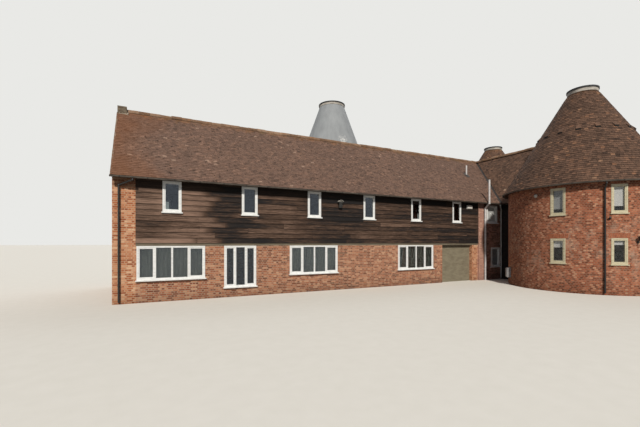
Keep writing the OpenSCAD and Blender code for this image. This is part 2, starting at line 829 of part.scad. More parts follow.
// Half-round ridge tiles bedded on two slopes, drawn across the ridge
module ridge_outline(pitch) {
    reach = 2 * ridge_radius;
    difference() {
        translate([0, -ridge_drop]) circle(r = ridge_radius);
        polygon([[0, 0], [reach, -reach * tan(pitch)], [-reach, -reach * tan(pitch)]]);
        translate([-reach, -ridge_drop - 2 * reach]) square([2 * reach, 2 * reach]);
    }
}

module barn_ridge_tiles() {
    color("#a5673f") place()
        along_x(stub_length - verge_out, barn_length + verge_out)
            translate([ridge_y, ridge_height]) ridge_outline(barn_pitch);
}

module gable_stub() {
    color("#8d8272") place() stub_room(0);
}

// A side wall of the link wing with its face at x = 0, before it is trimmed by the kiln
module link_side() {
    along_y(-link_reach, 0)
        polygon([[0, 0], [brick_wall, 0], [brick_wall, link_under(brick_wall)],
                 [0, link_under(0)]]);
}

module front_kiln_body(foot = kiln_radius) {
    kiln_body(front_kiln, front_cone_eaves, cone_pitch, cone_top_radius, foot);
}

module link_west_wall() {
    color("sienna") place() difference() {
        translate([link_x, 0, 0]) link_side();
        front_kiln_body();
    }
}

module link_east_wall() {
    color("sienna") place() difference() {
        translate([barn_length, 0, 0]) mirror([1, 0, 0]) link_side();
        front_kiln_body();
    }
}

module link_floor() {
    color("burlywood") place() difference() {
        for (level = [[0, slab_thickness], [storey, floor_thickness]])
            translate([link_x + brick_wall, -link_reach, level[0]])
                cube([link_width - 2 * brick_wall, link_reach, level[1]]);
        front_kiln_body();
    }
}

// The western slope of the link's roof, drawn in X and Z with its ridge at x = 0
module link_slope_outline() {
    polygon([[0, ridge_height], [0, ridge_height - link_drop],
             [-link_wall_half, link_under(0)], [-link_wall_half, soffit],
             [-link_wall_half - link_eaves_out, soffit],
             [-link_eaves_half, eaves_height]]);
}

// What the link's roof is cut back from: the barn, its eaves west of the link and the air
// past its gable
module link_roof_trim() {
    barn_body();
    along_x(0, link_x)
        polygon([[-eaves_out, soffit], [-eaves_out, eaves_height],
                 [0, eaves_height + eaves_out * tan(barn_pitch)], [over, soffit]]);
    translate([barn_length - over, 0, 0]) cube([link_width, barn_depth, 2 * ridge_height]);
    front_kiln_body(cone_radius);
}

module link_west_roof() {
    color("#6f4e3f") place() difference() {
        translate([link_ridge_x, 0, 0]) along_y(-link_reach, ridge_y) link_slope_outline();
        link_roof_trim();
    }
}

module link_east_roof() {
    color("#6f4e3f") place() difference() {
        translate([link_ridge_x, 0, 0]) mirror([1, 0, 0])
            along_y(-link_reach, ridge_y) link_slope_outline();
        link_roof_trim();
    }
}

module link_ridge_tiles() {
    color("#a5673f") place() difference() {
        along_y(-link_reach, ridge_y)
            translate([link_ridge_x, ridge_height]) ridge_outline(link_pitch);
        barn_body();
        along_x(0, barn_length + verge_out)
            translate([ridge_y, ridge_height - ridge_drop]) circle(r = ridge_radius);
        front_kiln_body(cone_radius);
    }
}

module front_kiln_south_wall() {
    color("firebrick") place()
        kiln_half(front_kiln, front_cone_eaves, cone_pitch, -90, front_kiln_openings);
}

module front_kiln_north_wall() {
    color("firebrick") place()
        kiln_half(front_kiln, front_cone_eaves, cone_pitch, 90, []);
}

module rear_kiln_north_wall() {
    color("firebrick") place()
        kiln_half(rear_kiln, grey_cone_eaves, grey_pitch, 90, rear_kiln_openings);
}

module rear_kiln_south_wall() {
    color("firebrick") place() kiln_half(rear_kiln, grey_cone_eaves, grey_pitch, -90, []);
}

module east_kiln_east_wall() {
    color("firebrick") place()
        kiln_half(east_kiln, east_cone_eaves, cone_pitch, 0, east_kiln_openings);
}

module east_kiln_west_wall() {
    color("firebrick") place() kiln_half(east_kiln, east_cone_eaves, cone_pitch, 180, []);
}

module front_cone() {
    color("#5b4034") place()
        cone_shell(front_kiln, front_cone_eaves, cone_pitch, cone_top_radius);
}

module rear_cone() {
    color("#9a9c9b") place() difference() {
        cone_shell(rear_kiln, grey_cone_eaves, grey_pitch, grey_top_radius);
        barn_body();
    }
}

module east_cone() {
    color("#5b4034") place() difference() {
        cone_shell(east_kiln, east_cone_eaves, cone_pitch, cone_top_radius);
        barn_body();
    }
}

module cone_collars() {
    color("whitesmoke") place() {
        collar(front_kiln, front_cone_top, cone_top_radius, cone_pitch);
        collar(east_kiln, east_cone_top, cone_top_radius, cone_pitch);
        collar(rear_kiln, grey_cone_top, grey_top_radius, grey_pitch);
    }
}

module cone_caps() {
    color("#2d2e30") place() {
        cap(front_kiln, front_cone_top, cone_top_radius);
        cap(east_kiln, east_cone_top, cone_top_radius);
        cap(rear_kiln, grey_cone_top, grey_top_radius);
    }
}

module kiln_floors() {
    color("burlywood") place()
        for (kiln = [front_kiln, rear_kiln, east_kiln]) {
            kiln_disc(kiln, 0, slab_thickness);
            kiln_disc(kiln, kiln_floor_height, floor_thickness);
        }
}

module barn_windows() {
    color("white") place() {
        for (o = [each front_upper, each front_lower, each recess_openings])
            sill_window(o);
        at_rear() for (o = [each rear_upper, each rear_lower])
            sill_window(o);
        at_west() for (o = gable_openings)
            sill_window(o);
    }
}

module barn_glass() {
    color("lightblue", 0.4) place() {
        for (o = [each front_upper, each front_lower, each recess_openings])
            window_glass(o, frame_proud);
        at_rear() for (o = [each rear_upper, each rear_lower])
            window_glass(o, frame_proud);
        at_west() for (o = gable_openings)
            window_glass(o, frame_proud);
    }
}

module kiln_windows() {
    color("#d9cfae") place() {
        kiln_frames(front_kiln, front_kiln_openings);
        kiln_frames(rear_kiln, rear_kiln_openings);
        kiln_frames(east_kiln, east_kiln_openings);
    }
}

module kiln_glass() {
    color("lightblue", 0.4) place() {
        kiln_panes(front_kiln, front_kiln_openings);
        kiln_panes(rear_kiln, rear_kiln_openings);
        kiln_panes(east_kiln, east_kiln_openings);
    }
}

module barn_gutter(from, to) {
    along_x(from, to) translate([-eaves_out, gutter_level]) gutter_outline();
}

module gutters() {
    color("#26282b") place() {
        barn_gutter(gutter_west, link_x - link_eaves_out - gutter_past);
        at_rear() {
            barn_gutter(gutter_west, rear_kiln[0] - rear_gutter_gap);
            barn_gutter(rear_kiln[0] + rear_gutter_gap, rear_gutter_end);
        }
        ring_gutter(front_kiln, front_cone_eaves, front_ring_west, 360 + front_ring_east);
        ring_gutter(rear_kiln, grey_cone_eaves, -rear_ring_turn, 180 + rear_ring_turn);
        ring_gutter(east_kiln, east_cone_eaves, east_ring_turn - 180, 180 - east_ring_turn);
    }
}

// A clip that holds an upright pipe on the wall behind it, drawn at the pipe's middle
module pipe_clip(size, stand) {
    translate([-size / 2 - clip_side, 0, 0]) cube([size + 2 * clip_side, stand, clip_height]);
}

// A downpipe on a wall whose face is y = 0, with a swan neck from its outlet to its foot
module downpipe(outlet, out, top, foot, gap) {
    neck = top - neck_drop;
    bent_pipe([[outlet, out, top], [outlet, out, top - neck_lead],
               [foot, -downpipe_stand, neck], [foot, -downpipe_stand, foot_height]],
              downpipe_bore);
    for (height = [low_clip : clip_step : neck - clip_step / 4])
        translate([foot, -downpipe_stand, height])
            pipe_clip(downpipe_bore, downpipe_stand - gap);
}

module kiln_downpipe(kiln, eaves, turn) {
    at_turn(kiln, turn)
        downpipe(0, kiln_radius - gutter_ring - gutter_radius,
                 ring_low(eaves), 0, seat);
}

module downpipes() {
    color("#26282b") place() {
        downpipe(outlet_place, gutter_mid, gutter_low, downpipe_place, 0);
        downpipe(link_x - link_eaves_out - stack_place, gutter_mid, gutter_low,
                 link_x - downpipe_stand, 0);
        at_rear() downpipe(outlet_place, gutter_mid, gutter_low, downpipe_place, 0);
        kiln_downpipe(front_kiln, front_cone_eaves, kiln_pipe_turn);
        kiln_downpipe(rear_kiln, grey_cone_eaves, 90 + rear_window_step / 2);
        kiln_downpipe(east_kiln, east_cone_eaves, east_window_step / 2);
    }
}

module soil_stack() {
    bent_pipe([[stack_x, -stack_stand, 0], [stack_x, -stack_stand, stack_bend],
               [stack_x - stack_shift, stack_out, stack_bend + stack_lean],
               [stack_x - stack_shift, stack_out, eaves_height + stack_rise]],
              stack_bore);
    for (height = [low_clip : clip_step : stack_bend - clip_step / 4])
        translate([stack_x, -stack_stand, height]) pipe_clip(stack_bore, stack_stand);
}

module roof_vent() {
    difference() {
        translate([vent_x, vent_in, vent_foot - vent_bore])
            cylinder(d = vent_bore, h = vent_rise + vent_bore);
        barn_body();
    }
}

module white_pipes() {
    color("white") place() {
        soil_stack();
        roof_vent();
    }
}

// A bell box with a sloped face, narrower at its foot
module alarm_box() {
    slope = alarm_depth / 3;
    color("white") place()
        translate([first_bay + (bays - 1) * bay + alarm_place, 0, soffit - alarm_drop])
            along_x(-alarm_width / 2, alarm_width / 2)
                polygon([[0, 0], [0, alarm_tall], [-alarm_depth + slope, alarm_tall],
                         [-alarm_depth, alarm_tall - slope], [-alarm_depth, slope],
                         [-alarm_depth + slope, 0]]);
}

// A wall lamp: a body with canted front corners under an arched hood
module wall_lamp() {
    cant = lamp_width / 5;
    spring = lamp_tall - hood_radius / 2;
    color("#2b2a28") place() translate([first_bay + 2 * bay + lamp_place, 0, soffit - lamp_drop]) {
        linear_extrude(lamp_tall)
            polygon([[-lamp_width / 2, 0], [-lamp_width / 2, -lamp_depth + cant],
                     [-lamp_width / 2 + cant, -lamp_depth], [lamp_width / 2 - cant, -lamp_depth],
                     [lamp_width / 2, -lamp_depth + cant], [lamp_width / 2, 0]]);
        along_y(-lamp_depth - hood_wall, 0) difference() {
            translate([0, spring]) circle(r = hood_radius);
            translate([0, spring]) circle(r = hood_radius - hood_wall);
            translate([-2 * hood_radius, spring - 2 * hood_radius])
                square([4 * hood_radius, 2 * hood_radius]);
        }
        translate([-hood_radius, -lamp_depth, spring])
            cube([2 * hood_radius, lamp_depth, hood_wall]);
    }
}

// A round bulkhead light with a domed lens on its base
module round_light() {
    base = round_light_depth / 3;
    dome = round_light_depth - base;
    sphere_radius = (pow(round_light_bore / 2, 2) + pow(dome, 2)) / (2 * dome);
    rotate([90, 0, 0]) translate([0, 0, seat]) {
        cylinder(d = round_light_bore, h = base - seat);
        intersection() {
            translate([0, 0, base - seat + dome - sphere_radius]) sphere(r = sphere_radius);
            translate([0, 0, base - seat]) cylinder(d = round_light_bore, h = 2 * dome);
        }
    }
}

// A square lantern that narrows downwards, on a bracket, with a pyramid for its lid
module lantern() {
    bar = lantern_width / 8;
    foot = lantern_width * 0.35;
    translate([0, -lantern_stand, lantern_tall / 4]) rotate([0, 0, 45]) {
        cylinder(d1 = foot * sqrt(2), d2 = lantern_width * sqrt(2) * 0.8, h = lantern_tall * 0.75,
                 $fn = 4);
        translate([0, 0, lantern_tall * 0.75])
            cylinder(d1 = lantern_width * sqrt(2), d2 = bar, h = lantern_tall * 0.4, $fn = 4);
    }
    translate([-bar / 2, -lantern_stand - bar / 2, 0]) cube([bar, bar, lantern_tall / 4 + bar]);
    translate([-bar / 2, -lantern_stand, 0]) cube([bar, lantern_stand - seat, bar]);
    translate([-1.5 * bar, -bar, -2 * bar]) cube([3 * bar, bar - seat, 5 * bar]);
}

// A small spotlight: a short barrel that points down and out from a foot on the wall
module spotlight() {
    translate([0, -spot_bore / 3, 0]) rotate([55, 0, 0]) cylinder(d = spot_bore, h = spot_bore);
    rotate([90, 0, 0]) translate([0, 0, seat]) cylinder(d = spot_bore * 0.8, h = spot_bore / 2);
}

module kiln_lights() {
    color("#2b2a28") place() {
        at_turn(front_kiln, round_light_turn)
            translate([0, 0, front_cone_eaves - round_light_drop]) round_light();
        at_turn(front_kiln, lantern_turn)
            translate([0, 0, lantern_height]) lantern();
        at_turn(front_kiln, spot_turn)
            translate([0, 0, spot_height]) spotlight();
    }
}

// A meter box with a sloped top and a door that stands proud of it
module meter_box() {
    fall = meter_depth / 8;
    rim = meter_width / 12;
    color("silver") place() at_turn(front_kiln, meter_turn)
        translate([0, 0, meter_height]) {
            along_x(-meter_width / 2, meter_width / 2)
                polygon([[-seat, 0], [-seat, meter_tall], [-meter_depth + rim, meter_tall - fall],
                         [-meter_depth + rim, 0]]);
            translate([-meter_width / 2 + rim, -meter_depth, rim])
                cube([meter_width - 2 * rim, 2 * rim, meter_tall - fall - 2 * rim]);
        }
}

ground_slab();
barn_first_floor();
west_gable();
east_gable();
brick_piers();
front_brick_wall();
front_boarded_wall();
wall_plates();
porch_panel();
recess_wall();
rear_brick_wall();
rear_boarded_wall();
front_roof();
rear_roof();
barn_ridge_tiles();
gable_stub();
link_west_wall();
link_east_wall();
link_floor();
link_west_roof();
link_east_roof();
link_ridge_tiles();
front_kiln_south_wall();
front_kiln_north_wall();
rear_kiln_south_wall();
rear_kiln_north_wall();
east_kiln_west_wall();
east_kiln_east_wall();
front_cone();
rear_cone();
east_cone();
cone_collars();
cone_caps();
kiln_floors();
barn_windows();
barn_glass();
kiln_windows();
kiln_glass();
gutters();
downpipes();
white_pipes();
alarm_box();
wall_lamp();
kiln_lights();
meter_box();
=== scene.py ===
import json
import math

import bpy
import numpy as np
from mathutils import Matrix, Vector

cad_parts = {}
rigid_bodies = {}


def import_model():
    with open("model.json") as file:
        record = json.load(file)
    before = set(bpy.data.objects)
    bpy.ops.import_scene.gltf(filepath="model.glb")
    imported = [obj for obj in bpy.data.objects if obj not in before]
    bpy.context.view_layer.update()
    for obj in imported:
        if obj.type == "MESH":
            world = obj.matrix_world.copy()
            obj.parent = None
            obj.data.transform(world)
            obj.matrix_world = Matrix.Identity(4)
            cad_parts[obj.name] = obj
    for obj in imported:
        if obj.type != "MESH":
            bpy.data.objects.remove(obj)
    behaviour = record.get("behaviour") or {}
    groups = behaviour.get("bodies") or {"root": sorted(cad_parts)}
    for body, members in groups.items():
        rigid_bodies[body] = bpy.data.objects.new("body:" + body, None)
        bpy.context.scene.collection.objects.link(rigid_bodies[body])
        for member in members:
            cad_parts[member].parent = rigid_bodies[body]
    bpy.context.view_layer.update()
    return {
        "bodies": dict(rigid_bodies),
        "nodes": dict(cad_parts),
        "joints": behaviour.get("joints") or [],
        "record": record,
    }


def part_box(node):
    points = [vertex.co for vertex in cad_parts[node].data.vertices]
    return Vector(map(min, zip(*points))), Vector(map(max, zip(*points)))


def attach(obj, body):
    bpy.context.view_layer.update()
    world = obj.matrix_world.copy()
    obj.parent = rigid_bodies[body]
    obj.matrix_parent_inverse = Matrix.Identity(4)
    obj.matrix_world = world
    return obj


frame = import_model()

nodes = frame["nodes"]
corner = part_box("west_gable")[0]  # front west corner of the barn, from which plan sizes run


def at(x, y, z=0.0):  # a plan place, in metres east and north of that corner
    return Vector((corner.x + x, corner.y + y, z))


def linear(hexText):
    parts = [int(hexText[i:i + 2], 16) / 255 for i in (1, 3, 5)]
    return [v / 12.92 if v <= 0.04045 else ((v + 0.055) / 1.055) ** 2.4 for v in parts] + [1.0]


def addNode(tree, kind, settings=None, links=None):
    node = tree.nodes.new("ShaderNode" + kind)
    for key, value in (settings or {}).items():
        if key == "stops":  # places and colours along a colour ramp
            ramp = node.color_ramp
            while len(ramp.elements) > 1:
                ramp.elements.remove(ramp.elements[-1])
            ramp.elements[0].position = value[0][0]
            ramp.elements[0].color = linear(value[0][1])
            for place, hexText in value[1:]:
                ramp.elements.new(place).color = linear(hexText)
        elif isinstance(key, str) and key in node.bl_rna.properties:
            setattr(node, key, value)
        else:
            node.inputs[key].default_value = value
    for key, source in (links or {}).items():
        tree.links.new(source, node.inputs[key])
    return node.outputs


multiplyColours = {"data_type": "RGBA", "blend_type": "MULTIPLY", 0: 1.0}  # of a Mix node


def startMaterial(name, roughness, specular=0.5):
    material = bpy.data.materials.new(name)
    material.use_nodes = True
    tree = material.node_tree
    shader = tree.nodes["Principled BSDF"]
    shader.inputs["Roughness"].default_value = roughness
    shader.inputs["Specular IOR Level"].default_value = specular
    coords = addNode(tree, "TexCoord")["Object"]
    return material, tree, shader, coords


def pickOnly(piece):
    bpy.ops.object.select_all(action="DESELECT")
    piece.select_set(True)
    bpy.context.view_layer.objects.active = piece


def settle(piece):  # place, turn and size go into the mesh
    pickOnly(piece)
    bpy.ops.object.transform_apply(location=True, rotation=True, scale=True)
    return piece


def editAll(piece, operator, **settings):  # one edit-mode operator on the whole of a piece
    pickOnly(piece)
    bpy.ops.object.mode_set(mode="EDIT")
    bpy.ops.mesh.select_all(action="SELECT")
    operator(**settings)
    bpy.ops.object.mode_set(mode="OBJECT")


def editFaces(piece, test):  # enters edit mode with only the faces that pass the test
    pickOnly(piece)
    bpy.ops.object.mode_set(mode="EDIT")
    bpy.ops.mesh.select_mode(type="FACE")
    bpy.ops.mesh.select_all(action="DESELECT")
    bpy.ops.object.mode_set(mode="OBJECT")
    for face in piece.data.polygons:
        face.select = test(face)
    bpy.ops.object.mode_set(mode="EDIT")


def finishPiece(piece, material):
    piece.data.materials.clear()
    piece.data.materials.append(material)
    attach(piece, "root")
    return piece


def dress(material, *names):
    for name in names:
        for slot in nodes[name].material_slots:
            slot.material = material


shades = {"middle": 0.5, "spread": 0.22}  # of the copies of a pattern


def repeatPiece(pattern, name, frames, material, seed=1):
    # the modelled pattern is copied to each frame, and the copies become one piece
    chance = np.random.default_rng(seed)
    faceCount = len(pattern.data.polygons)
    bpy.ops.object.select_all(action="DESELECT")
    for place in frames:
        copy = pattern.copy()
        copy.data = pattern.data.copy()
        bpy.context.scene.collection.objects.link(copy)
        copy.matrix_world = place
        copy.select_set(True)
        bpy.context.view_layer.objects.active = copy
    bpy.data.objects.remove(pattern)
    bpy.ops.object.join()
    piece = settle(bpy.context.object)
    piece.name = name
    tones = np.repeat(chance.normal(shades["middle"], shades["spread"], len(frames)), faceCount)
    attribute = piece.data.attributes.new("tone", "FLOAT", "FACE")
    attribute.data.foreach_set("value", np.clip(tones, 0, 1).astype(np.float32))
    return finishPiece(piece, material)


def frameOf(place, along, over):  # local X along, local Z over, at a place
    along = Vector(along).normalized()
    across = Vector(over).cross(along).normalized()
    over = along.cross(across)
    turn = Matrix((along, across, over)).transposed().to_4x4()
    return Matrix.Translation(place) @ turn


def directions(turn):  # outward and sideways at this turn about a kiln
    outward = Vector((math.cos(turn), math.sin(turn), 0))
    return outward, Vector((-outward.y, outward.x, 0))


def applyModifier(piece, kind, **settings):
    pickOnly(piece)
    modifier = piece.modifiers.new(kind.lower(), kind)
    for key, value in settings.items():
        setattr(modifier, key, value)
    bpy.ops.object.modifier_apply(modifier=modifier.name)
    return piece


def startBlock(x, y, z, bevel=0.0, middle=(0, 0, 0)):  # a block, its arrises taken off
    bpy.ops.object.select_all(action="DESELECT")
    bpy.ops.mesh.primitive_cube_add(size=1, location=middle)
    block = bpy.context.object
    block.scale = (x, y, z)
    settle(block)
    if bevel:
        applyModifier(block, "BEVEL", width=bevel, segments=1)
    return block


def roughPieces(name, size, cuts, amount, frames, material, seed, shape=None):
    # copies of a block that is cut up, shaped and then roughened, as lead and mortar are
    block = startBlock(*size)
    editAll(block, bpy.ops.mesh.subdivide, number_cuts=cuts)
    shifts = np.random.default_rng(seed).normal(0, amount, (len(block.data.vertices), 3))
    for vertex, shift in zip(block.data.vertices, shifts):
        if shape:
            shape(vertex.co)
        vertex.co += Vector(shift)
    block.data.update()
    repeatPiece(block, name, frames, material, seed)


def meshPiece(name, points, faces, tones, runs):
    # tone is each tile's or board's own shade, and run is how far up it a point lies
    mesh = bpy.data.meshes.new(name)
    mesh.from_pydata(points, [], faces)
    for kind, domain, values in (("tone", "FACE", tones), ("run", "POINT", runs)):
        attribute = mesh.attributes.new(kind, "FLOAT", domain)
        attribute.data.foreach_set("value", np.array(values, np.float32))
    mesh.update()
    piece = bpy.data.objects.new(name, mesh)
    bpy.context.scene.collection.objects.link(piece)
    return piece


# Camera: the photograph's stand, eye height and wide lens
camera = {"x": 1.12, "y": -14.7, "z": 2.244, "turn": 26.37, "lens": 19.69, "sensor": 36,
          "shift": 0.0461, "farthest": 900}
bpy.ops.object.camera_add(location=at(camera["x"], camera["y"], camera["z"]),
                          rotation=(math.radians(90), 0, -math.radians(camera["turn"])))
eye = bpy.context.object
eye.data.lens = camera["lens"]
eye.data.sensor_width = camera["sensor"]
eye.data.shift_y = camera["shift"]
eye.data.clip_end = camera["farthest"]
bpy.context.scene.camera = eye
bpy.context.scene.view_settings.view_transform = "Standard"
print("camera set")

# Light: one high lamp from the front left, a wide soft one from behind, pale fill from all round
light = {"from": (-0.3205, -0.7199, 0.6157), "strength": 3.3, "spread": 3.0, "fill": 0.27,
         "colour": "#fff7ea", "behind": (0.53, 0.71, 0.46), "softer": 1.1, "wider": 70,
         "fillColour": "#dfe6f0", "backdrop": "#e9e9e6", "floor": "#e3e1dc",
         "floorSpeck": "#dbd9d3", "bounce": "#8f8d88"}
bpy.ops.object.light_add(type="SUN", location=at(0, -20, 20))
sun = bpy.context.object
sun.rotation_euler = Vector(light["from"]).to_track_quat("Z", "Y").to_euler()
sun.data.energy = light["strength"]
sun.data.angle = math.radians(light["spread"])
sun.data.color = linear(light["colour"])[:3]
bpy.ops.object.light_add(type="SUN", location=at(20, 30, 20))
behind = bpy.context.object
behind.rotation_euler = Vector(light["behind"]).to_track_quat("Z", "Y").to_euler()
behind.data.energy = light["softer"]
behind.data.angle = math.radians(light["wider"])


def shownDirectly(tree):  # 1 where the camera, glass or a glossy face sees the studio itself
    path = addNode(tree, "LightPath")
    seen = addNode(tree, "Math", {"operation": "MAXIMUM"},
                   {0: path["Is Camera Ray"], 1: path["Is Transmission Ray"]})
    return addNode(tree, "Math", {"operation": "MAXIMUM"},
                   {0: seen[0], 1: path["Is Glossy Ray"]})[0]


world = bpy.data.worlds.new("studio")
bpy.context.scene.world = world
world.use_nodes = True
tree = world.node_tree
tree.nodes.clear()
fill = addNode(tree, "Background", {"Color": linear(light["fillColour"]),
                                    "Strength": light["fill"]})
backdrop = addNode(tree, "Background", {"Color": linear(light["backdrop"]), "Strength": 1.0})
mixed = addNode(tree, "MixShader", None, {0: shownDirectly(tree), 1: fill[0], 2: backdrop[0]})
addNode(tree, "OutputWorld", None, {"Surface": mixed[0]})

material, tree, shader, coords = startMaterial("painted studio floor", 0.9, 0.2)
speckle = addNode(tree, "TexNoise", {"Scale": 3.0, "Detail": 6.0}, {"Vector": coords})
pale = addNode(tree, "Mix", {"data_type": "RGBA", 6: linear(light["floor"]),
                             7: linear(light["floorSpeck"])}, {0: speckle["Fac"]})
colour = addNode(tree, "Mix", {"data_type": "RGBA", 6: linear(light["bounce"])},
                 {0: shownDirectly(tree), 7: pale[2]})
tree.links.new(colour[2], shader.inputs["Base Color"])
bpy.ops.mesh.primitive_plane_add(size=camera["farthest"], location=(0, 0, -0.002))
floor = settle(bpy.context.object)
floor.name = "studio_floor"
floor.data.materials.append(material)
print("light and floor set")


def brickMaterial(name, tones, mortar, joint, length=0.225, squash=0.5, kiln=None, salts=0.0):
    material, tree, shader, coords = startMaterial(name, 0.88, 0.25)
    if kiln:  # unrolled about the kiln's middle, its seam turned towards what hides it
        centred = addNode(tree, "VectorMath", {"operation": "SUBTRACT", 1: kiln["middle"]},
                          {0: coords})
        turned = addNode(tree, "Mapping", {"Rotation": (0, 0, -math.radians(kiln["facing"]))},
                         {"Vector": centred[0]})
        split = addNode(tree, "SeparateXYZ", None, {0: turned[0]})
        angle = addNode(tree, "Math", {"operation": "ARCTAN2"}, {0: split["Y"], 1: split["X"]})
        along = addNode(tree, "Math", {"operation": "MULTIPLY", 1: kiln["radius"]},
                        {0: angle[0]})[0]
    else:
        split = addNode(tree, "SeparateXYZ", None, {0: coords})
        facing = addNode(tree, "SeparateXYZ", None,
                         {0: addNode(tree, "NewGeometry")["True Normal"]})
        sideways = addNode(tree, "Math", {"operation": "ABSOLUTE"}, {0: facing["X"]})
        sideways = addNode(tree, "Math", {"operation": "GREATER_THAN", 1: 0.7}, {0: sideways[0]})
        along = addNode(tree, "Mix", {"data_type": "FLOAT"},
                        {0: sideways[0], 2: split["X"], 3: split["Y"]})[0]
    wall = addNode(tree, "CombineXYZ", None, {"X": along, "Y": split["Z"]})
    ragged = addNode(tree, "TexNoise", {"Scale": 22.0, "Detail": 2.0}, {"Vector": wall[0]})
    ragged = addNode(tree, "VectorMath", {"operation": "SUBTRACT", 1: (0.5, 0.5, 0.5)},
                     {0: ragged["Color"]})
    ragged = addNode(tree, "VectorMath", {"operation": "SCALE", "Scale": 0.010}, {0: ragged[0]})
    wall = addNode(tree, "VectorMath", {"operation": "ADD"}, {0: wall[0], 1: ragged[0]})
    # courses of 75 mm with 10 mm joints, drawn a little wider so that they show from afar
    bond = addNode(tree, "TexBrick",
                   {"offset": 0.5, "offset_frequency": 2, "squash": squash, "squash_frequency": 2,
                    "Color1": (0, 0, 0, 1), "Color2": (1, 1, 1, 1), "Mortar": (0, 0, 0, 1),
                    "Scale": 1.0, "Mortar Size": joint, "Mortar Smooth": 0.3, "Bias": 0.0,
                    "Brick Width": length, "Row Height": 0.075}, {"Vector": wall[0]})
    patch = addNode(tree, "TexNoise", {"Scale": 0.9, "Detail": 5.0, "Roughness": 0.6},
                    {"Vector": coords})
    shift = addNode(tree, "Math", {"operation": "MULTIPLY_ADD", 1: 0.55, 2: -0.275},
                    {0: patch["Fac"]})
    pick = addNode(tree, "Math", {"operation": "ADD", "use_clamp": True},
                   {0: bond["Color"], 1: shift[0]})
    brick = addNode(tree, "ValToRGB", {"stops": tones}, {"Fac": pick[0]})
    grit = addNode(tree, "TexNoise", {"Scale": 120.0, "Detail": 3.0}, {"Vector": coords})
    gritTone = addNode(tree, "MapRange", {"To Min": 0.82, "To Max": 1.18}, {0: grit["Fac"]})
    brick = addNode(tree, "Mix", multiplyColours, {6: brick["Color"], 7: gritTone[0]})
    colour = addNode(tree, "Mix", {"data_type": "RGBA", 7: linear(mortar)},
                     {0: bond["Fac"], 6: brick[2]})[2]
    if salts:  # white salts that weep out of the lower courses, in runs
        runs = addNode(tree, "Mapping", {"Scale": (1.4, 1.4, 0.9)}, {"Vector": coords})
        runs = addNode(tree, "TexNoise", {"Scale": 1.3, "Detail": 8.0, "Roughness": 0.72},
                       {"Vector": runs[0]})
        runs = addNode(tree, "MapRange", {"From Min": 0.50, "From Max": 0.74, "To Max": salts},
                       {0: runs["Fac"]})
        low = addNode(tree, "MapRange", {"From Min": 0.2, "From Max": 1.6}, {0: split["Z"]})
        high = addNode(tree, "MapRange", {"From Min": 3.9, "From Max": 2.6}, {0: split["Z"]})
        band = addNode(tree, "Math", {"operation": "MULTIPLY"}, {0: low[0], 1: high[0]})
        amount = addNode(tree, "Math", {"operation": "MULTIPLY"}, {0: runs[0], 1: band[0]})
        colour = addNode(tree, "Mix", {"data_type": "RGBA", 7: linear("#c9b7a4")},
                         {0: amount[0], 6: colour})[2]
    if not kiln:  # painted shade: a dark band under the eaves, on the front and back walls
        eavesShadeBand = addNode(tree, "MapRange", {"From Min": 4.24, "From Max": 4.36, "To Max": 0.5},
                        {0: split["Z"]})
        frontOrBackFaces = addNode(tree, "MapRange", {"To Min": 1.0, "To Max": 0.0}, {0: sideways[0]})
        amount = addNode(tree, "Math", {"operation": "MULTIPLY"}, {0: eavesShadeBand[0], 1: frontOrBackFaces[0]})
        colour = addNode(tree, "Mix", {"data_type": "RGBA", 7: linear("#1c1310")},
                         {0: amount[0], 6: colour})[2]
    damp = addNode(tree, "MapRange", {"From Min": 0.0, "From Max": 0.55, "To Min": 0.72},
                   {0: split["Z"]})
    colour = addNode(tree, "Mix", multiplyColours, {6: colour, 7: damp[0]})[2]
    tree.links.new(colour, shader.inputs["Base Color"])
    depth = addNode(tree, "Math", {"operation": "MULTIPLY_ADD", 1: -1.0, 2: 1.0},
                    {0: bond["Fac"]})
    depth = addNode(tree, "Math", {"operation": "MULTIPLY_ADD", 1: 0.25},
                    {0: grit["Fac"], 2: depth[0]})
    bump = addNode(tree, "Bump", {"Strength": 0.8, "Distance": 0.008}, {"Height": depth[0]})
    tree.links.new(bump[0], shader.inputs["Normal"])
    return material


# Stock brick, wire-cut and sand-faced: matt, red to plum, in lime mortar
barnTones = [(0.0, "#6d4030"), (0.25, "#8d5540"), (0.5, "#a3664c"), (0.75, "#b57a5c"),
             (1.0, "#c79a7c")]
pierTones = [(0.0, "#925235"), (0.3, "#ac6846"), (0.6, "#bf7f5b"), (0.85, "#ce9775"),
             (1.0, "#dab08f")]
recessTones = [(0.0, "#6a463b"), (0.3, "#86594b"), (0.6, "#a07060"), (1.0, "#b98c7a")]
kilnTones = [(0.0, "#6b3b28"), (0.25, "#844b35"), (0.5, "#9c5a40"), (0.8, "#b16d50"),
             (1.0, "#c29175")]
stubTones = [(0.0, "#6e5f50"), (0.5, "#94836f"), (1.0, "#b3a48e")]
barnBrick = brickMaterial("sand-faced stock brick", barnTones, "#b29a84", 0.010)
pierBrick = brickMaterial("orange stock brick", pierTones, "#c8a68a", 0.010)
recessBrick = brickMaterial("plum stock brick", recessTones, "#a58b7c", 0.010)
stubBrick = brickMaterial("weathered stock brick", stubTones, "#a59a88", 0.012)
dress(barnBrick, "east_gable", "front_brick_wall", "rear_brick_wall", "link_east_wall")
dress(pierBrick, "brick_piers", "west_gable")
dress(recessBrick, "recess_wall")
dress(stubBrick, "gable_stub")

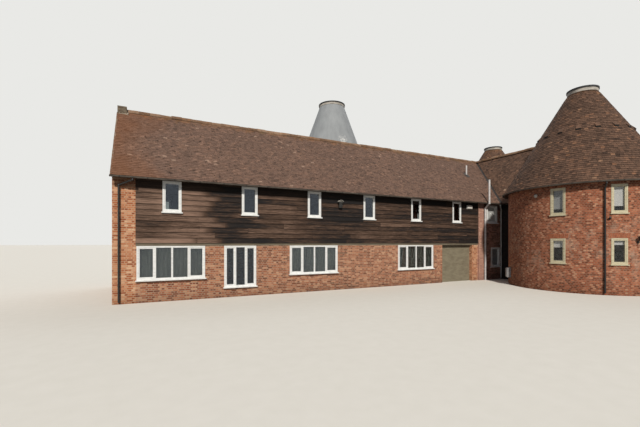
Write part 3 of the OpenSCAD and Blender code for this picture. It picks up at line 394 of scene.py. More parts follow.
# The kilns: middles on plan, wall radius, eaves height and the side that shows most
wallRadius = 3.39
coneRadius = 3.6
coneTop = 0.65
kilns = {"front": {"x": 21.39, "y": -4.48, "eaves": 4.95, "pitch": 59.3, "facing": -90.0},
         "rear": {"x": 14.16, "y": 9.51, "eaves": 5.50, "pitch": 70.2, "facing": 90.0},
         "east": {"x": 27.44, "y": 5.37, "eaves": 5.06, "pitch": 59.3, "facing": 0.0}}
header = {"width": 0.1125, "count": 189}  # brick headers, and how many go round a kiln
for name, kiln in kilns.items():
    place = {"middle": at(kiln["x"], kiln["y"]), "facing": kiln["facing"],
             "radius": header["count"] * header["width"] / (2 * math.pi)}
    brick = brickMaterial("kiln brick, " + name, kilnTones, "#9c7c68", 0.009, header["width"], 1.0,
                          place, 0.62)
    for node in nodes:
        if node.startswith(name + "_kiln"):
            dress(brick, node)
print("brickwork done")


def paintMaterial(name, colour, dark, roughness, grain, streak, depth=0.002):
    material, tree, shader, coords = startMaterial(name, roughness, 0.4)
    mapping = addNode(tree, "Mapping", {"Scale": streak}, {"Vector": coords})
    noise = addNode(tree, "TexNoise", {"Scale": grain, "Detail": 6.0, "Roughness": 0.6},
                    {"Vector": mapping[0]})
    tone = addNode(tree, "ValToRGB", {"stops": [(0.3, dark), (0.62, colour)]},
                   {"Fac": noise["Fac"]})
    tree.links.new(tone["Color"], shader.inputs["Base Color"])
    rough = addNode(tree, "MapRange", {"To Min": roughness + 0.12, "To Max": roughness - 0.08},
                    {0: noise["Fac"]})
    tree.links.new(rough[0], shader.inputs["Roughness"])
    bump = addNode(tree, "Bump", {"Strength": 0.4, "Distance": depth}, {"Height": noise["Fac"]})
    tree.links.new(bump[0], shader.inputs["Normal"])
    return material


def paintOver(material, colour, axis, low, high, amount=1.0):
    # mixes a colour in where a coordinate lies between two values
    tree = material.node_tree
    shader = tree.nodes["Principled BSDF"]
    below = shader.inputs["Base Color"].links[0].from_socket
    split = addNode(tree, "SeparateXYZ", None, {0: addNode(tree, "TexCoord")["Object"]})
    past = addNode(tree, "Math", {"operation": "GREATER_THAN", 1: low}, {0: split[axis]})
    short = addNode(tree, "Math", {"operation": "LESS_THAN", 1: high}, {0: split[axis]})
    inside = addNode(tree, "Math", {"operation": "MULTIPLY"}, {0: past[0], 1: short[0]})
    inside = addNode(tree, "Math", {"operation": "MULTIPLY", 1: amount}, {0: inside[0]})
    mixed = addNode(tree, "Mix", {"data_type": "RGBA", 7: linear(colour)},
                    {0: inside[0], 6: below})
    tree.links.new(mixed[2], shader.inputs["Base Color"])
    return material


# Plain coats. Each row has the colour, the colour in hollows, the roughness, the scale of the
# grain, how much finer it is in X, Y and Z, how deep it is and the CAD pieces that wear it.
coats = {}
for name, colour, hollow, roughness, grain, streak, depth, worn in (
        # brushed on timber: a soft shine, faint runs along the grain and grime in hollows
        ("white gloss paint", "#f0f2f3", "#d8dbdb", 0.35, 6.0, (1, 1, 4), 0.002, "barn_windows"),
        ("cream gloss paint", "#cfc8ae", "#b0a78b", 0.38, 6.0, (1, 1, 4), 0.002, "kiln_windows"),
        # rolled on board: flat and a little chalky, with darker clouds
        ("masonry paint", "#88816e", "#726a59", 0.7, 2.2, (1, 1, 2.5), 0.002, "porch_panel"),
        # brushed on masonry: matt, thin and grey where it has washed off
        ("white limewash", "#c3beb7", "#8d8981", 0.75, 3.0, (1, 1, 2.5), 0.006, "cone_collars"),
        # sawn and left bare: dry and grey, with dark grain along the timber
        ("silvered oak", "#7c7363", "#4d463a", 0.8, 9.0, (0.25, 1, 5), 0.004, "wall_plates"),
        # planed softwood: dull yellow-brown, streaked along the boards
        ("pine floor boards", "#a98a63", "#7b6140", 0.6, 7.0, (0.3, 6, 1), 0.002,
         "barn_first_floor link_floor kiln_floors"),
        # floated: dull pale grey, clouded all over
        ("cast concrete", "#a6a39c", "#87847d", 0.85, 5.0, (1, 1, 1), 0.004, "ground_slab"),
        # bonded on: near black and dull
        ("bitumen felt", "#3a3c3f", "#232527", 0.8, 8.0, (1, 1, 1), 0.004, "cone_caps"),
        # extruded: smooth, a touch chalky where the weather has had it
        ("black PVC", "#26272a", "#17181a", 0.35, 5.0, (1, 1, 3), 0.002, ""),
        ("weathered black PVC", "#6c645c", "#463f39", 0.4, 4.0, (1, 1, 3), 0.002, "gutters"),
        ("white PVC", "#dcdadb", "#bdbcbc", 0.32, 4.0, (1, 1, 3), 0.002, "white_pipes"),
        # moulded: an even satin skin
        ("moulded ABS", "#e2e0dc", "#cbc8c2", 0.4, 7.0, (1, 1, 1), 0.002, "alarm_box"),
        ("moulded GRP", "#9b9a9c", "#7e7d80", 0.5, 9.0, (1, 1, 1), 0.002, "meter_box"),
        # baked on: hard and dark, with a low sheen
        ("stove-enamelled steel", "#2c2b2a", "#1b1a19", 0.42, 9.0, (1, 1, 1), 0.002,
         "wall_lamp kiln_lights"),
        # extruded, as the gutters, but less weathered
        ("black PVC pipe", "#2b2a2a", "#1a1a1b", 0.35, 5.0, (1, 1, 3), 0.002, "downpipes")):
    coats[name] = paintMaterial(name, colour, hollow, roughness, grain, streak, depth)
    dress(coats[name], *worn.split())
# the hood of the barn's lamp and the round light, the grey pipe in the recess, the greyer pilaster
paintOver(coats["stove-enamelled steel"], "#b9b6b0", "Z", 4.22, 5.0)
paintOver(coats["black PVC pipe"], "#c6c7c7", "X", corner.x + 20.5, corner.x + 21.2)
paintOver(pierBrick, "#a38b8d", "X", corner.x + 19.0, corner.x + 19.6, 0.4)


def glassMaterial(name, roughness, values):
    material, tree, shader, coords = startMaterial(name, roughness)
    for key, value in values.items():
        shader.inputs[key].default_value = value
    ripple = addNode(tree, "TexNoise", {"Scale": 1.8, "Detail": 1.0}, {"Vector": coords})
    bump = addNode(tree, "Bump", {"Strength": 0.25, "Distance": 0.01}, {"Height": ripple["Fac"]})
    tree.links.new(bump[0], shader.inputs["Normal"])
    return material, tree, shader, coords


# Double glazing of float glass: dark from outside, with a slow ripple in what it mirrors. The IOR
# stands for the four faces of the two panes, and the tints for an unlit room and a cool coating.
material, tree, shader, coords = glassMaterial("float glass", 0.02, {
    "Base Color": linear("#b2b8b7"), "Specular Tint": linear("#c9d2e2"),
    "Transmission Weight": 1.0, "IOR": 1.75})
# the recess's panes let daylight on to their blinds
split = addNode(tree, "SeparateXYZ", None, {0: coords})
inRecess = addNode(tree, "Math", {"operation": "GREATER_THAN", 1: corner.x + 19.6},
                   {0: split["X"]})
front = addNode(tree, "Math", {"operation": "LESS_THAN", 1: corner.y + 1.0}, {0: split["Y"]})
clear = addNode(tree, "Math", {"operation": "MULTIPLY"}, {0: inRecess[0], 1: front[0]})
alpha = addNode(tree, "MapRange", {"To Min": 1.0, "To Max": 0.14}, {0: clear[0]})
tree.links.new(alpha[0], shader.inputs["Alpha"])
dress(material, "barn_glass")

# The kilns' panes are thinner and let daylight on to their blinds
dress(glassMaterial("thin float glass", 0.03, {"Base Color": linear("#2d3331"), "Alpha": 0.12,
                                               "IOR": 2.6})[0], "kiln_glass")

# Lead-grey cement render on the rear cone: trowelled, lightly streaked by rain
material, tree, shader, coords = startMaterial("grey cement render", 0.75, 0.3)
streaks = addNode(tree, "Mapping", {"Scale": (1, 1, 0.18)}, {"Vector": coords})
streaks = addNode(tree, "TexNoise", {"Scale": 2.6, "Detail": 7.0, "Roughness": 0.6},
                  {"Vector": streaks[0]})
tone = addNode(tree, "ValToRGB",
               {"stops": [(0.25, "#868a8f"), (0.5, "#92979c"), (0.8, "#9da2a7")]},
               {"Fac": streaks["Fac"]})
# whitish marks of a later patching coat, low on the side that faces the front
patching = addNode(tree, "VectorMath", {"operation": "DISTANCE", 1: at(14.02, 7.48, 9.84)},
                   {0: coords})
patching = addNode(tree, "MapRange", {"From Min": 0.45, "From Max": 0.1}, {0: patching["Value"]})
blots = addNode(tree, "TexNoise", {"Scale": 7.0, "Detail": 4.0, "Roughness": 0.7},
                {"Vector": coords})
blots = addNode(tree, "MapRange", {"From Min": 0.47, "From Max": 0.55}, {0: blots["Fac"]})
blots = addNode(tree, "Math", {"operation": "MULTIPLY"}, {0: blots[0], 1: patching[0]})
colour = addNode(tree, "Mix", {"data_type": "RGBA", 7: linear("#cfd1d2")},
                 {0: blots[0], 6: tone["Color"]})
tree.links.new(colour[2], shader.inputs["Base Color"])
bump = addNode(tree, "Bump", {"Strength": 0.3, "Distance": 0.01}, {"Height": streaks["Fac"]})
tree.links.new(bump[0], shader.inputs["Normal"])
dress(material, "rear_cone")
print("paints, plastics and glass done")


def tileMaterial(name, tones, clay):
    material, tree, shader, coords = startMaterial(name, 0.9, 0.2)
    tone = addNode(tree, "Attribute", {"attribute_name": "tone"})["Fac"]
    patch = addNode(tree, "TexNoise", {"Scale": 0.6, "Detail": 5.0, "Roughness": 0.6},
                    {"Vector": coords})
    shift = addNode(tree, "Math", {"operation": "MULTIPLY_ADD", 1: 0.5, 2: -0.25},
                    {0: patch["Fac"]})
    pick = addNode(tree, "Math", {"operation": "ADD", "use_clamp": True}, {0: tone, 1: shift[0]})
    colour = addNode(tree, "ValToRGB", {"stops": tones}, {"Fac": pick[0]})["Color"]
    grit = addNode(tree, "TexNoise", {"Scale": 40.0, "Detail": 4.0, "Roughness": 0.7},
                   {"Vector": coords})
    gritTone = addNode(tree, "MapRange", {"From Min": 0.3, "From Max": 0.7, "To Min": 0.72,
                                          "To Max": 1.28}, {0: grit["Fac"]})
    mottle = addNode(tree, "TexNoise", {"Scale": 6.5, "Detail": 4.0, "Roughness": 0.8},
                     {"Vector": coords})
    mottle = addNode(tree, "MapRange", {"From Min": 0.3, "From Max": 0.7, "To Min": 0.70,
                                        "To Max": 1.34}, {0: mottle["Fac"]})
    colour = addNode(tree, "Mix", multiplyColours, {6: colour, 7: gritTone[0]})[2]
    colour = addNode(tree, "Mix", multiplyColours, {6: colour, 7: mottle[0]})[2]
    # painted shade on each tile just below the tail of the one that laps it
    run = addNode(tree, "Attribute", {"attribute_name": "run"})["Fac"]
    line = addNode(tree, "MapRange", {"From Min": 0.22, "From Max": 0.42, "To Min": 1.0,
                                      "To Max": clay["course"]}, {0: run})
    colour = addNode(tree, "Mix", multiplyColours, {6: colour, 7: line[0]})[2]
    # dark specks in loose groups, painted shadow of slipped tiles, and pale lichen in coins of 20
    # to 50 mm
    groups = addNode(tree, "MapRange", {"From Min": 0.40, "From Max": 0.56, "To Min": 0.35},
                     {0: patch["Fac"]})
    specks = addNode(tree, "TexNoise", {"Scale": 8.0, "Detail": 3.0}, {"Vector": coords})
    specks = addNode(tree, "MapRange", {"From Min": 0.61, "From Max": 0.65,
                                        "To Max": clay["specks"]}, {0: specks["Fac"]})
    specks = addNode(tree, "Math", {"operation": "MULTIPLY"}, {0: specks[0], 1: groups[0]})
    colour = addNode(tree, "Mix", {"data_type": "RGBA", 7: linear("#2c211b")},
                     {0: specks[0], 6: colour})[2]
    coins = addNode(tree, "TexNoise", {"Scale": 21.0, "Detail": 3.0, "Roughness": 0.6},
                    {"Vector": coords})
    coins = addNode(tree, "MapRange", {"From Min": 0.62, "From Max": 0.70,
                                       "To Max": clay["coins"]}, {0: coins["Fac"]})
    colour = addNode(tree, "Mix", {"data_type": "RGBA", 7: linear("#a39481")},
                     {0: coins[0], 6: colour})[2]
    # orange and green-grey lichen that thickens towards the ridge, ragged at its edge
    split = addNode(tree, "SeparateXYZ", None, {0: coords})
    high = addNode(tree, "MapRange", {"From Min": clay["low"], "From Max": clay["high"]},
                   {0: split["Z"]})
    mat = addNode(tree, "TexNoise", {"Scale": 2.6, "Detail": 9.0, "Roughness": 0.8},
                  {"Vector": coords})
    mat = addNode(tree, "Math", {"operation": "MULTIPLY_ADD", 1: 1.3}, {0: mat["Fac"], 2: high[0]})
    mat = addNode(tree, "MapRange", {"From Min": 1.25, "From Max": 1.75, "To Max": clay["mat"]},
                  {0: mat[0]})
    hue = addNode(tree, "TexNoise", {"Scale": 1.7, "Detail": 5.0, "Roughness": 0.7},
                  {"Vector": coords})
    hue = addNode(tree, "ValToRGB", {"stops": lichenTones}, {"Fac": hue["Fac"]})
    hue = addNode(tree, "Mix", multiplyColours, {6: hue["Color"], 7: gritTone[0]})
    colour = addNode(tree, "Mix", {"data_type": "RGBA"}, {0: mat[0], 6: colour, 7: hue[2]})[2]
    if clay["warm"]:  # the verge keeps the orange of newer tiles
        raggedEdge = addNode(tree, "Math", {"operation": "MULTIPLY_ADD", 1: 4.0, 2: -2.0},
                             {0: patch["Fac"]})
        warm = addNode(tree, "Math", {"operation": "ADD"}, {0: raggedEdge[0], 1: split["X"]})
        warm = addNode(tree, "MapRange", {"From Min": corner.x + 1.9, "From Max": corner.x + 0.1,
                                          "To Max": 0.55}, {0: warm[0]})
        colour = addNode(tree, "Mix", {"data_type": "RGBA", 7: linear("#7d5236")},
                         {0: warm[0], 6: colour})[2]
    tree.links.new(colour, shader.inputs["Base Color"])
    bump = addNode(tree, "Bump", {"Strength": 0.5, "Distance": 0.004}, {"Height": grit["Fac"]})
    tree.links.new(bump[0], shader.inputs["Normal"])
    return material


# Hand-made plain clay tiles: sanded, fired unevenly, dulled by soot and lichen
roofTones = [(0.0, "#4a3a34"), (0.2, "#5f4c43"), (0.5, "#6e584e"), (0.75, "#7b6154"),
             (0.9, "#876b5d"), (1.0, "#967e6f")]
linkTones = [(0.0, "#41332e"), (0.25, "#56443b"), (0.5, "#675145"), (0.75, "#7a5f50"),
             (0.9, "#8c6b58"), (1.0, "#a68c78")]
coneTones = [(0.0, "#3f312b"), (0.25, "#544137"), (0.5, "#644e42"), (0.75, "#735849"),
             (0.9, "#86624c"), (1.0, "#91725d")]
ridgeTones = [(0.0, "#6b5545"), (0.5, "#7c624f"), (1.0, "#977e6b")]
lichenTones = [(0.36, "#6d6242"), (0.44, "#8a6636"), (0.52, "#a36a35"), (0.60, "#94714f"),
               (0.68, "#a78f79")]
roofClay = tileMaterial("plain clay tiles", roofTones,
                        {"course": 0.86, "specks": 0.8, "coins": 0.4, "mat": 0.88, "low": 7.1,
                         "high": 8.35, "warm": True})
linkClay = tileMaterial("plain clay tiles of the link", linkTones,
                        {"course": 0.7, "specks": 0.7, "coins": 0.5, "mat": 0.7, "low": 7.2,
                         "high": 8.6, "warm": False})
coneClay = tileMaterial("plain clay tiles of the cones", coneTones,
                        {"course": 0.38, "specks": 0.5, "coins": 0.25, "mat": 0.55, "low": 7.6,
                         "high": 11.0, "warm": False})
dress(roofClay, "front_roof", "rear_roof")
dress(linkClay, "link_west_roof", "link_east_roof")
dress(coneClay, "front_cone", "east_cone")

# One plain tile, tail at the origin: cambered along its length, its crown at a share of it. The
# last four say how unevenly tiles lie, in degrees, as a share of their length and in metres.
tile = {"width": 0.165, "length": 0.265, "thick": 0.012, "gauge": 0.114, "camber": 0.004,
        "crown": 0.45, "tilt": 6.0, "lift": 0.016, "joint": 0.004,
        "tilted": 0.5, "skewed": 0.008, "lifted": 0.0015, "slid": 0.0015}
bpy.ops.object.select_all(action="DESELECT")
bpy.ops.mesh.primitive_cube_add(size=1, location=(0, 0.5, tile["thick"] / 2))
pattern = bpy.context.object
bpy.ops.transform.resize(value=(1, 1, tile["thick"]))
settle(pattern)
editAll(pattern, bpy.ops.mesh.bisect, plane_co=(0, tile["crown"], 0), plane_no=(0, 1, 0))
for vertex in pattern.data.vertices:
    if abs(vertex.co.y - tile["crown"]) < 0.01:
        vertex.co.z += tile["camber"]
tilePoints = np.array([v.co for v in pattern.data.vertices])
tileFaces = np.array([list(p.vertices) for p in pattern.data.polygons])
bpy.data.objects.remove(pattern)


def layTiles(name, places, up, out, widths, lengths, tones, taper=0.0):
    count = len(places)
    chance = np.random.default_rng(len(name) * 101 + count)
    tilt = np.radians(tile["tilt"] + chance.normal(0, tile["tilted"], count))[:, None]
    across = np.cross(up, out)
    yaw = chance.normal(0, tile["skewed"], count)[:, None]
    across, up = across + up * yaw, up - across * yaw
    along = up * np.cos(tilt) - out * np.sin(tilt)
    over = out * np.cos(tilt) + up * np.sin(tilt)
    places = places + out * (tile["lift"] + chance.normal(0, tile["lifted"], count))[:, None]
    x = tilePoints[:, 0][None] * (1 - np.reshape(taper, (-1, 1)) * tilePoints[:, 1][None])
    x = x * widths[:, None]
    y = tilePoints[:, 1][None] * lengths[:, None]
    z = np.repeat(tilePoints[:, 2][None], count, 0)
    points = (places[:, None] + across[:, None] * x[..., None] + along[:, None] * y[..., None]
              + over[:, None] * z[..., None])
    faces = tileFaces[None] + (np.arange(count) * len(tilePoints))[:, None, None]
    return meshPiece(name, points.reshape(-1, 3).tolist(), faces.reshape(-1, 4).tolist(),
                     np.repeat(tones, len(tileFaces)), np.tile(tilePoints[:, 1], count))


# The roofs' plan, in metres from the corner
barn = {"length": 24.38, "depth": 6.45, "eaves": 4.69, "eavesOut": 0.29, "verge": 0.02,
        "tilesPast": 0.045}
stub = {"east": 0.34, "half": 0.24}
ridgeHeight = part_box("front_roof")[1].z
barnRun = barn["depth"] / 2 + barn["eavesOut"]
barnSlope = (ridgeHeight - barn["eaves"]) / barnRun
barnPitch = math.atan(barnSlope)
link = {"ridge": 22.75, "half": 2.03, "reach": 4.48, "wallLine": -0.05, "recessTop": 4.8,
        "recessEast": 22}
linkSlope = (ridgeHeight - barn["eaves"]) / link["half"]


nowhere = -9.0  # the height of a roof outside its own edges


def coneHeight(kiln, x, y):  # of a cone's face over a plan place
    away = np.hypot(x - kiln["x"], y - kiln["y"])
    rise = kiln["eaves"] + (coneRadius - away) * math.tan(math.radians(kiln["pitch"]))
    return np.where(away < coneRadius, rise, nowhere)


def barnHeight(x, y):
    inside = (x > -barn["verge"]) & (x < barn["length"] + barn["verge"])
    off = np.abs(y - barn["depth"] / 2)
    return np.where(inside & (off < barnRun), ridgeHeight - off * barnSlope, nowhere)


def linkHeight(x, y):
    off = np.abs(x - link["ridge"])
    inside = (off < link["half"]) & (y > -link["reach"]) & (y < barn["depth"] / 2)
    return np.where(inside, ridgeHeight - off * linkSlope, nowhere)


def underStub(x, y):
    return (x < stub["east"]) & (np.abs(y - barn["depth"] / 2) < stub["half"])


# How the courses lie on the slopes and on the cones: how far the first hangs past the eaves, how
# far short of the top the last stops or may reach, how uneven the tails are, the share of tiles
# that slipped and how far, the spread of their tones with the share of pale ones, and on a cone
# how far each course is turned against the one below
slopeCourses = {"hang": 0.045, "short": 0.09, "over": 0.02, "uneven": 0.003, "slipped": 0.012,
                "slip": -0.03, "spread": 0.14, "pale": 0.004}
coneCourses = {"hang": 0.04, "short": 0.06, "over": 0.03, "uneven": 0.004, "slipped": 0.02,
               "slip": -0.03, "spread": 0.17, "pale": 0.01, "turned": 0.02}
# the spot on a tile that decides, where it is hidden, that the tile is left off: how far up its
# slope, and on a cone how far in and higher
spot = {"up": 0.07, "inward": 0.04, "higher": 0.06}


def coursesOf(lay, slope):  # each course's number, and how far up the slope its tails lie
    for row in range(int((slope - lay["short"] + lay["hang"]) / tile["gauge"])):
        yield row, -lay["hang"] + row * tile["gauge"]


def slideOf(chance, lay, s, count):
    slip = np.where(chance.random(count) < lay["slipped"], lay["slip"], 0.0)
    return s + chance.normal(0, lay["uneven"], count) + slip


def tonesOf(chance, lay, count):
    tones = np.clip(chance.normal(0.50, lay["spread"], count), 0, 1)
    return np.where(chance.random(count) < lay["pale"], 1.0, tones)


def layCourses(name, low, up, out, start, end, slope, hidden):
    # courses of half-bonded tiles on a flat slope, as plan places before they are moved
    chance = np.random.default_rng(len(name))
    up, out = np.array(up), np.array(out)
    across = np.cross(up, out)
    low = np.array(low)
    lay = slopeCourses
    count = round((end - start) / tile["width"])
    pitch = (end - start) / count
    rows = []
    for row, s in coursesOf(lay, slope):
        if row % 2:
            centres = start + pitch * np.arange(1, count)
            widths = np.full(count - 1, pitch)
            centres = np.concatenate([[start + pitch / 4], centres, [end - pitch / 4]])
            widths = np.concatenate([[pitch / 2], widths, [pitch / 2]])
        else:
            centres = start + pitch * (np.arange(count) + 0.5)
            widths = np.full(count, pitch)
        slide = slideOf(chance, lay, s, len(centres))
        centres = centres + chance.normal(0, tile["slid"], len(centres))
        spots = low + across * centres[:, None] + up * slide[:, None]
        lengths = np.minimum(tile["length"], slope - slide + lay["over"])
        tones = tonesOf(chance, lay, len(centres))
        rows.append(np.column_stack([spots, widths - tile["joint"], lengths, tones]))
    rows = np.concatenate(rows)
    middle = rows[:, :3] + up * spot["up"]
    keep = ~hidden(middle[:, 0], middle[:, 1], middle[:, 2])
    rows = rows[keep]
    spots = rows[:, :3] + np.array([corner.x, corner.y, 0])
    count = len(rows)
    return layTiles(name, spots, np.repeat(up[None], count, 0), np.repeat(out[None], count, 0),
                    rows[:, 3], rows[:, 4], rows[:, 5])


slack = 0.09  # how far under a cone a tile may reach before it is left off
cutSlack = 0.22  # the same at a valley, where the tiles are cut
intoWall = 0.06  # how far inside a kiln's wall they stop
rise, reach = math.sin(barnPitch), math.cos(barnPitch)
slopeLength = barnRun / reach
ends = (-barn["tilesPast"], barn["length"] + barn["tilesPast"])


def underFront(x, y, z):  # by the link, the east cone, the stub and the link's own eaves
    return ((linkHeight(x, y) > z + cutSlack) | (coneHeight(kilns["east"], x, y) > z + slack)
            | underStub(x, y) | ((x > link["ridge"] - link["half"]) & (y < link["wallLine"])))


frontTiles = layCourses(
    "front_slope_tiles", (0, -barn["eavesOut"], barn["eaves"]), (0, reach, rise),
    (0, -rise, reach), ends[0], ends[1], slopeLength, underFront)

# Open valleys between the barn and the link, where the tiles are cut back from the lead
valley = {"gap": 0.055, "lead": 0.17, "thick": 0.005, "width": 3, "short": 0.1, "over": 0.006,
          "dents": 0.0012}
valleyRun = Vector((link["half"], barnRun, 0)).normalized()
valleys = [{"foot": at(link["ridge"] + side * link["half"], -barn["eavesOut"], barn["eaves"]),
            "top": at(link["ridge"], barn["depth"] / 2, ridgeHeight), "side": side,
            "toBarn": Vector((side * valleyRun.y, valleyRun.x, 0))} for side in (-1, 1)]


def cutTiles(piece, line, towards):
    # cuts what lies on the line's own side of the link's ridge, clears it past the lead and
    # closes each cut tile again
    def besideLine(face):
        away = face.center.x - line["top"].x
        return away * line["side"] > -0.02 and abs(away) < valley["width"]

    editFaces(piece, besideLine)
    bpy.ops.mesh.bisect(plane_co=line["foot"] + towards * valley["gap"], plane_no=-towards,
                        clear_outer=True)
    bpy.ops.mesh.select_all(action="SELECT")
    bpy.ops.mesh.fill_holes(sides=12)
    bpy.ops.object.mode_set(mode="OBJECT")


for line in valleys:
    cutTiles(frontTiles, line, line["toBarn"])
finishPiece(frontTiles, roofClay)


def inRearKilns(x, y, z):
    found = np.zeros(len(x), bool)
    for name in ("rear", "east"):
        kiln = kilns[name]
        away = np.hypot(x - kiln["x"], y - kiln["y"])
        found |= (away < wallRadius - intoWall) & (z < kiln["eaves"])
        found |= coneHeight(kiln, x, y) > np.maximum(z + slack, kiln["eaves"] + 0.1)
    return found


rearTiles = layCourses(
    "rear_slope_tiles", (0, barn["depth"] + barn["eavesOut"], barn["eaves"]), (0, -reach, rise),
    (0, rise, reach), -ends[1], -ends[0], slopeLength,
    lambda x, y, z: inRearKilns(x, y, z) | underStub(x, y))
finishPiece(rearTiles, roofClay)

steep = math.atan(linkSlope)
linkLength = link["half"] / math.cos(steep)


def underLink(x, y, z):
    kiln = kilns["front"]
    away = np.hypot(x - kiln["x"], y - kiln["y"])
    overRecess = (y > -barn["eavesOut"]) & (z < link["recessTop"]) & (x < link["recessEast"])
    return ((barnHeight(x, y) > z + cutSlack) | (coneHeight(kiln, x, y) > z + slack)
            | ((away < coneRadius - 0.02) & (z < kiln["eaves"]))
            | (coneHeight(kilns["east"], x, y) > z + slack) | overRecess)


for side, name in ((-1, "link_west_tiles"), (1, "link_east_tiles")):
    up = (-side * math.cos(steep), 0, math.sin(steep))
    out = (side * math.sin(steep), 0, math.cos(steep))
    span = sorted((side * -link["reach"], side * barn["depth"] / 2))
    tiles = layCourses(name, (link["ridge"] + side * link["half"], 0, barn["eaves"]), up, out,
                       span[0], span[1], linkLength, underLink)
    line = valleys[0] if side < 0 else valleys[1]
    cutTiles(tiles, line, -line["toBarn"])
    finishPiece(tiles, linkClay)


def layCone(name, kiln, top, hidden):
    chance = np.random.default_rng(len(name) + 7)
    lay = coneCourses
    pitch = math.radians(kiln["pitch"])
    slope = (coneRadius - top) / math.cos(pitch)
    rows = []
    for row, s in coursesOf(lay, slope):
        radius = coneRadius - s * math.cos(pitch)
        count = round(2 * math.pi * radius / tile["width"])
        turns = 2 * math.pi * (np.arange(count) + 0.5 * (row % 2)) / count
        turns = turns + chance.uniform(0, lay["turned"])
        turns = turns + chance.normal(0, tile["slid"] / radius, count)
        slide = slideOf(chance, lay, s, count)
        away = coneRadius - slide * math.cos(pitch)
        width = 2 * math.pi * radius / count - tile["joint"]
        lengths = np.minimum(tile["length"], slope - slide + lay["over"])
        tones = tonesOf(chance, lay, count)
        rows.append(np.column_stack([turns, away, kiln["eaves"] + slide * math.sin(pitch),
                                     np.full(count, width), lengths, tones,
                                     lengths * math.cos(pitch) / away]))
    rows = np.concatenate(rows)
    east, north = np.cos(rows[:, 0]), np.sin(rows[:, 0])
    x, y = kiln["x"] + east * rows[:, 1], kiln["y"] + north * rows[:, 1]
    keep = ~hidden(x - east * spot["inward"], y - north * spot["inward"],
                   rows[:, 2] + spot["higher"])
    rows, east, north, x, y = rows[keep], east[keep], north[keep], x[keep], y[keep]
    flat = np.zeros(len(rows))
    up = np.column_stack([-east * math.cos(pitch), -north * math.cos(pitch),
                          flat + math.sin(pitch)])
    out = np.column_stack([east * math.sin(pitch), north * math.sin(pitch),
                           flat + math.cos(pitch)])
    spots = np.column_stack([x + corner.x, y + corner.y, rows[:, 2]])
    return layTiles(name, spots, up, out, rows[:, 3], rows[:, 4], rows[:, 5], rows[:, 6])


for name in ("front", "east"):
    below = linkHeight if name == "front" else barnHeight
    tiles = layCone(name + "_cone_tiles", kilns[name], coneTop,
                    lambda x, y, z: below(x, y) > z + slack)
    finishPiece(tiles, coneClay)
print("roofs tiled")


# Weatherboards: feather-edged softwood, tarred long ago. Where sun and rain reach it the tar has
# worn to brown in streaks along the grain, and elsewhere it is still blue-black.
material, tree, shader, coords = startMaterial("tarred weatherboard", 0.8, 0.2)
tone = addNode(tree, "Attribute", {"attribute_name": "tone"})["Fac"]
run = addNode(tree, "Attribute", {"attribute_name": "run"})["Fac"]
split = addNode(tree, "SeparateXYZ", None, {0: coords})
slide = addNode(tree, "Math", {"operation": "MULTIPLY", 1: 37.0}, {0: tone})
grain = addNode(tree, "Mapping", {"Scale": (0.5, 3.0, 9.0)}, {"Vector": coords})
streaks = addNode(tree, "TexNoise", {"noise_dimensions": "4D", "Scale": 2.6, "Detail": 9.0,
                                     "Roughness": 0.75}, {"Vector": grain[0], "W": slide[0]})
fine = addNode(tree, "Mapping", {"Scale": (1.6, 8.0, 26.0)}, {"Vector": coords})
fine = addNode(tree, "TexNoise", {"Scale": 2.5, "Detail": 5.0, "Roughness": 0.7},
               {"Vector": fine[0]})
# how far each stretch of the wall has worn, from its west end to its east end, white where it has
# worn most, and each board starts and ends its stretches at a place of its own
wander = addNode(tree, "Math", {"operation": "MULTIPLY_ADD", 1: 1.5},
                 {0: streaks["Fac"], 2: split["X"]})
wander = addNode(tree, "Math", {"operation": "MULTIPLY_ADD", 1: 2.0}, {0: tone, 2: wander[0]})
stretch = addNode(tree, "MapRange", {"From Min": corner.x + 2.4, "From Max": corner.x + 20.7},
                  {0: wander[0]})
stretch = addNode(tree, "ValToRGB",
                  {"stops": [(0.0, "#b4b4b4"), (0.1, "#d0d0d0"), (0.145, "#bcbcbc"),
                             (0.165, "#505050"), (0.215, "#545454"), (0.25, "#9c9c9c"),
                             (0.34, "#a4a4a4"), (0.42, "#606060"), (0.52, "#686868"),
                             (0.58, "#8c8c8c"), (0.7, "#7c7c7c"), (0.85, "#747474"),
                             (1.0, "#848484")]},
                  {"Fac": stretch[0]})
pick = addNode(tree, "Math", {"operation": "MULTIPLY_ADD", 1: 0.26}, {0: tone, 2: streaks["Fac"]})
pick = addNode(tree, "Math", {"operation": "MULTIPLY_ADD", 1: 0.46}, {0: fine["Fac"], 2: pick[0]})
pick = addNode(tree, "Math", {"operation": "MULTIPLY_ADD", 1: 0.62},
               {0: stretch["Color"], 2: pick[0]})
colour = addNode(tree, "ValToRGB",
                 {"stops": [(0.82, "#1d1b1c"), (0.94, "#2e2623"), (1.02, "#4a392f")]},
                 {"Fac": pick[0]})
pale = addNode(tree, "MapRange", {"From Min": 1.04, "From Max": 1.32, "To Max": 0.9}, {0: pick[0]})
colour = addNode(tree, "Mix", {"data_type": "RGBA", 7: linear("#94796a")},
                 {0: pale[0], 6: colour["Color"]})
# painted shade: black under the lap above and under the eaves, where the tar is also less worn
lapShade = addNode(tree, "MapRange", {"From Min": 0.55, "From Max": 0.84, "To Min": 1.0,
                                      "To Max": 0.5}, {0: run})
eavesShade = addNode(tree, "MapRange", {"From Min": 4.2, "From Max": 4.36, "To Min": 1.0,
                                        "To Max": 0.2}, {0: split["Z"]})
shade = addNode(tree, "Math", {"operation": "MULTIPLY"}, {0: lapShade[0], 1: eavesShade[0]})
colour = addNode(tree, "Mix", multiplyColours, {6: colour[2], 7: shade[0]})
tree.links.new(colour[2], shader.inputs["Base Color"])
bump = addNode(tree, "Bump", {"Strength": 0.6, "Distance": 0.003}, {"Height": fine["Fac"]})
tree.links.new(bump[0], shader.inputs["Normal"])
tarBoard = material

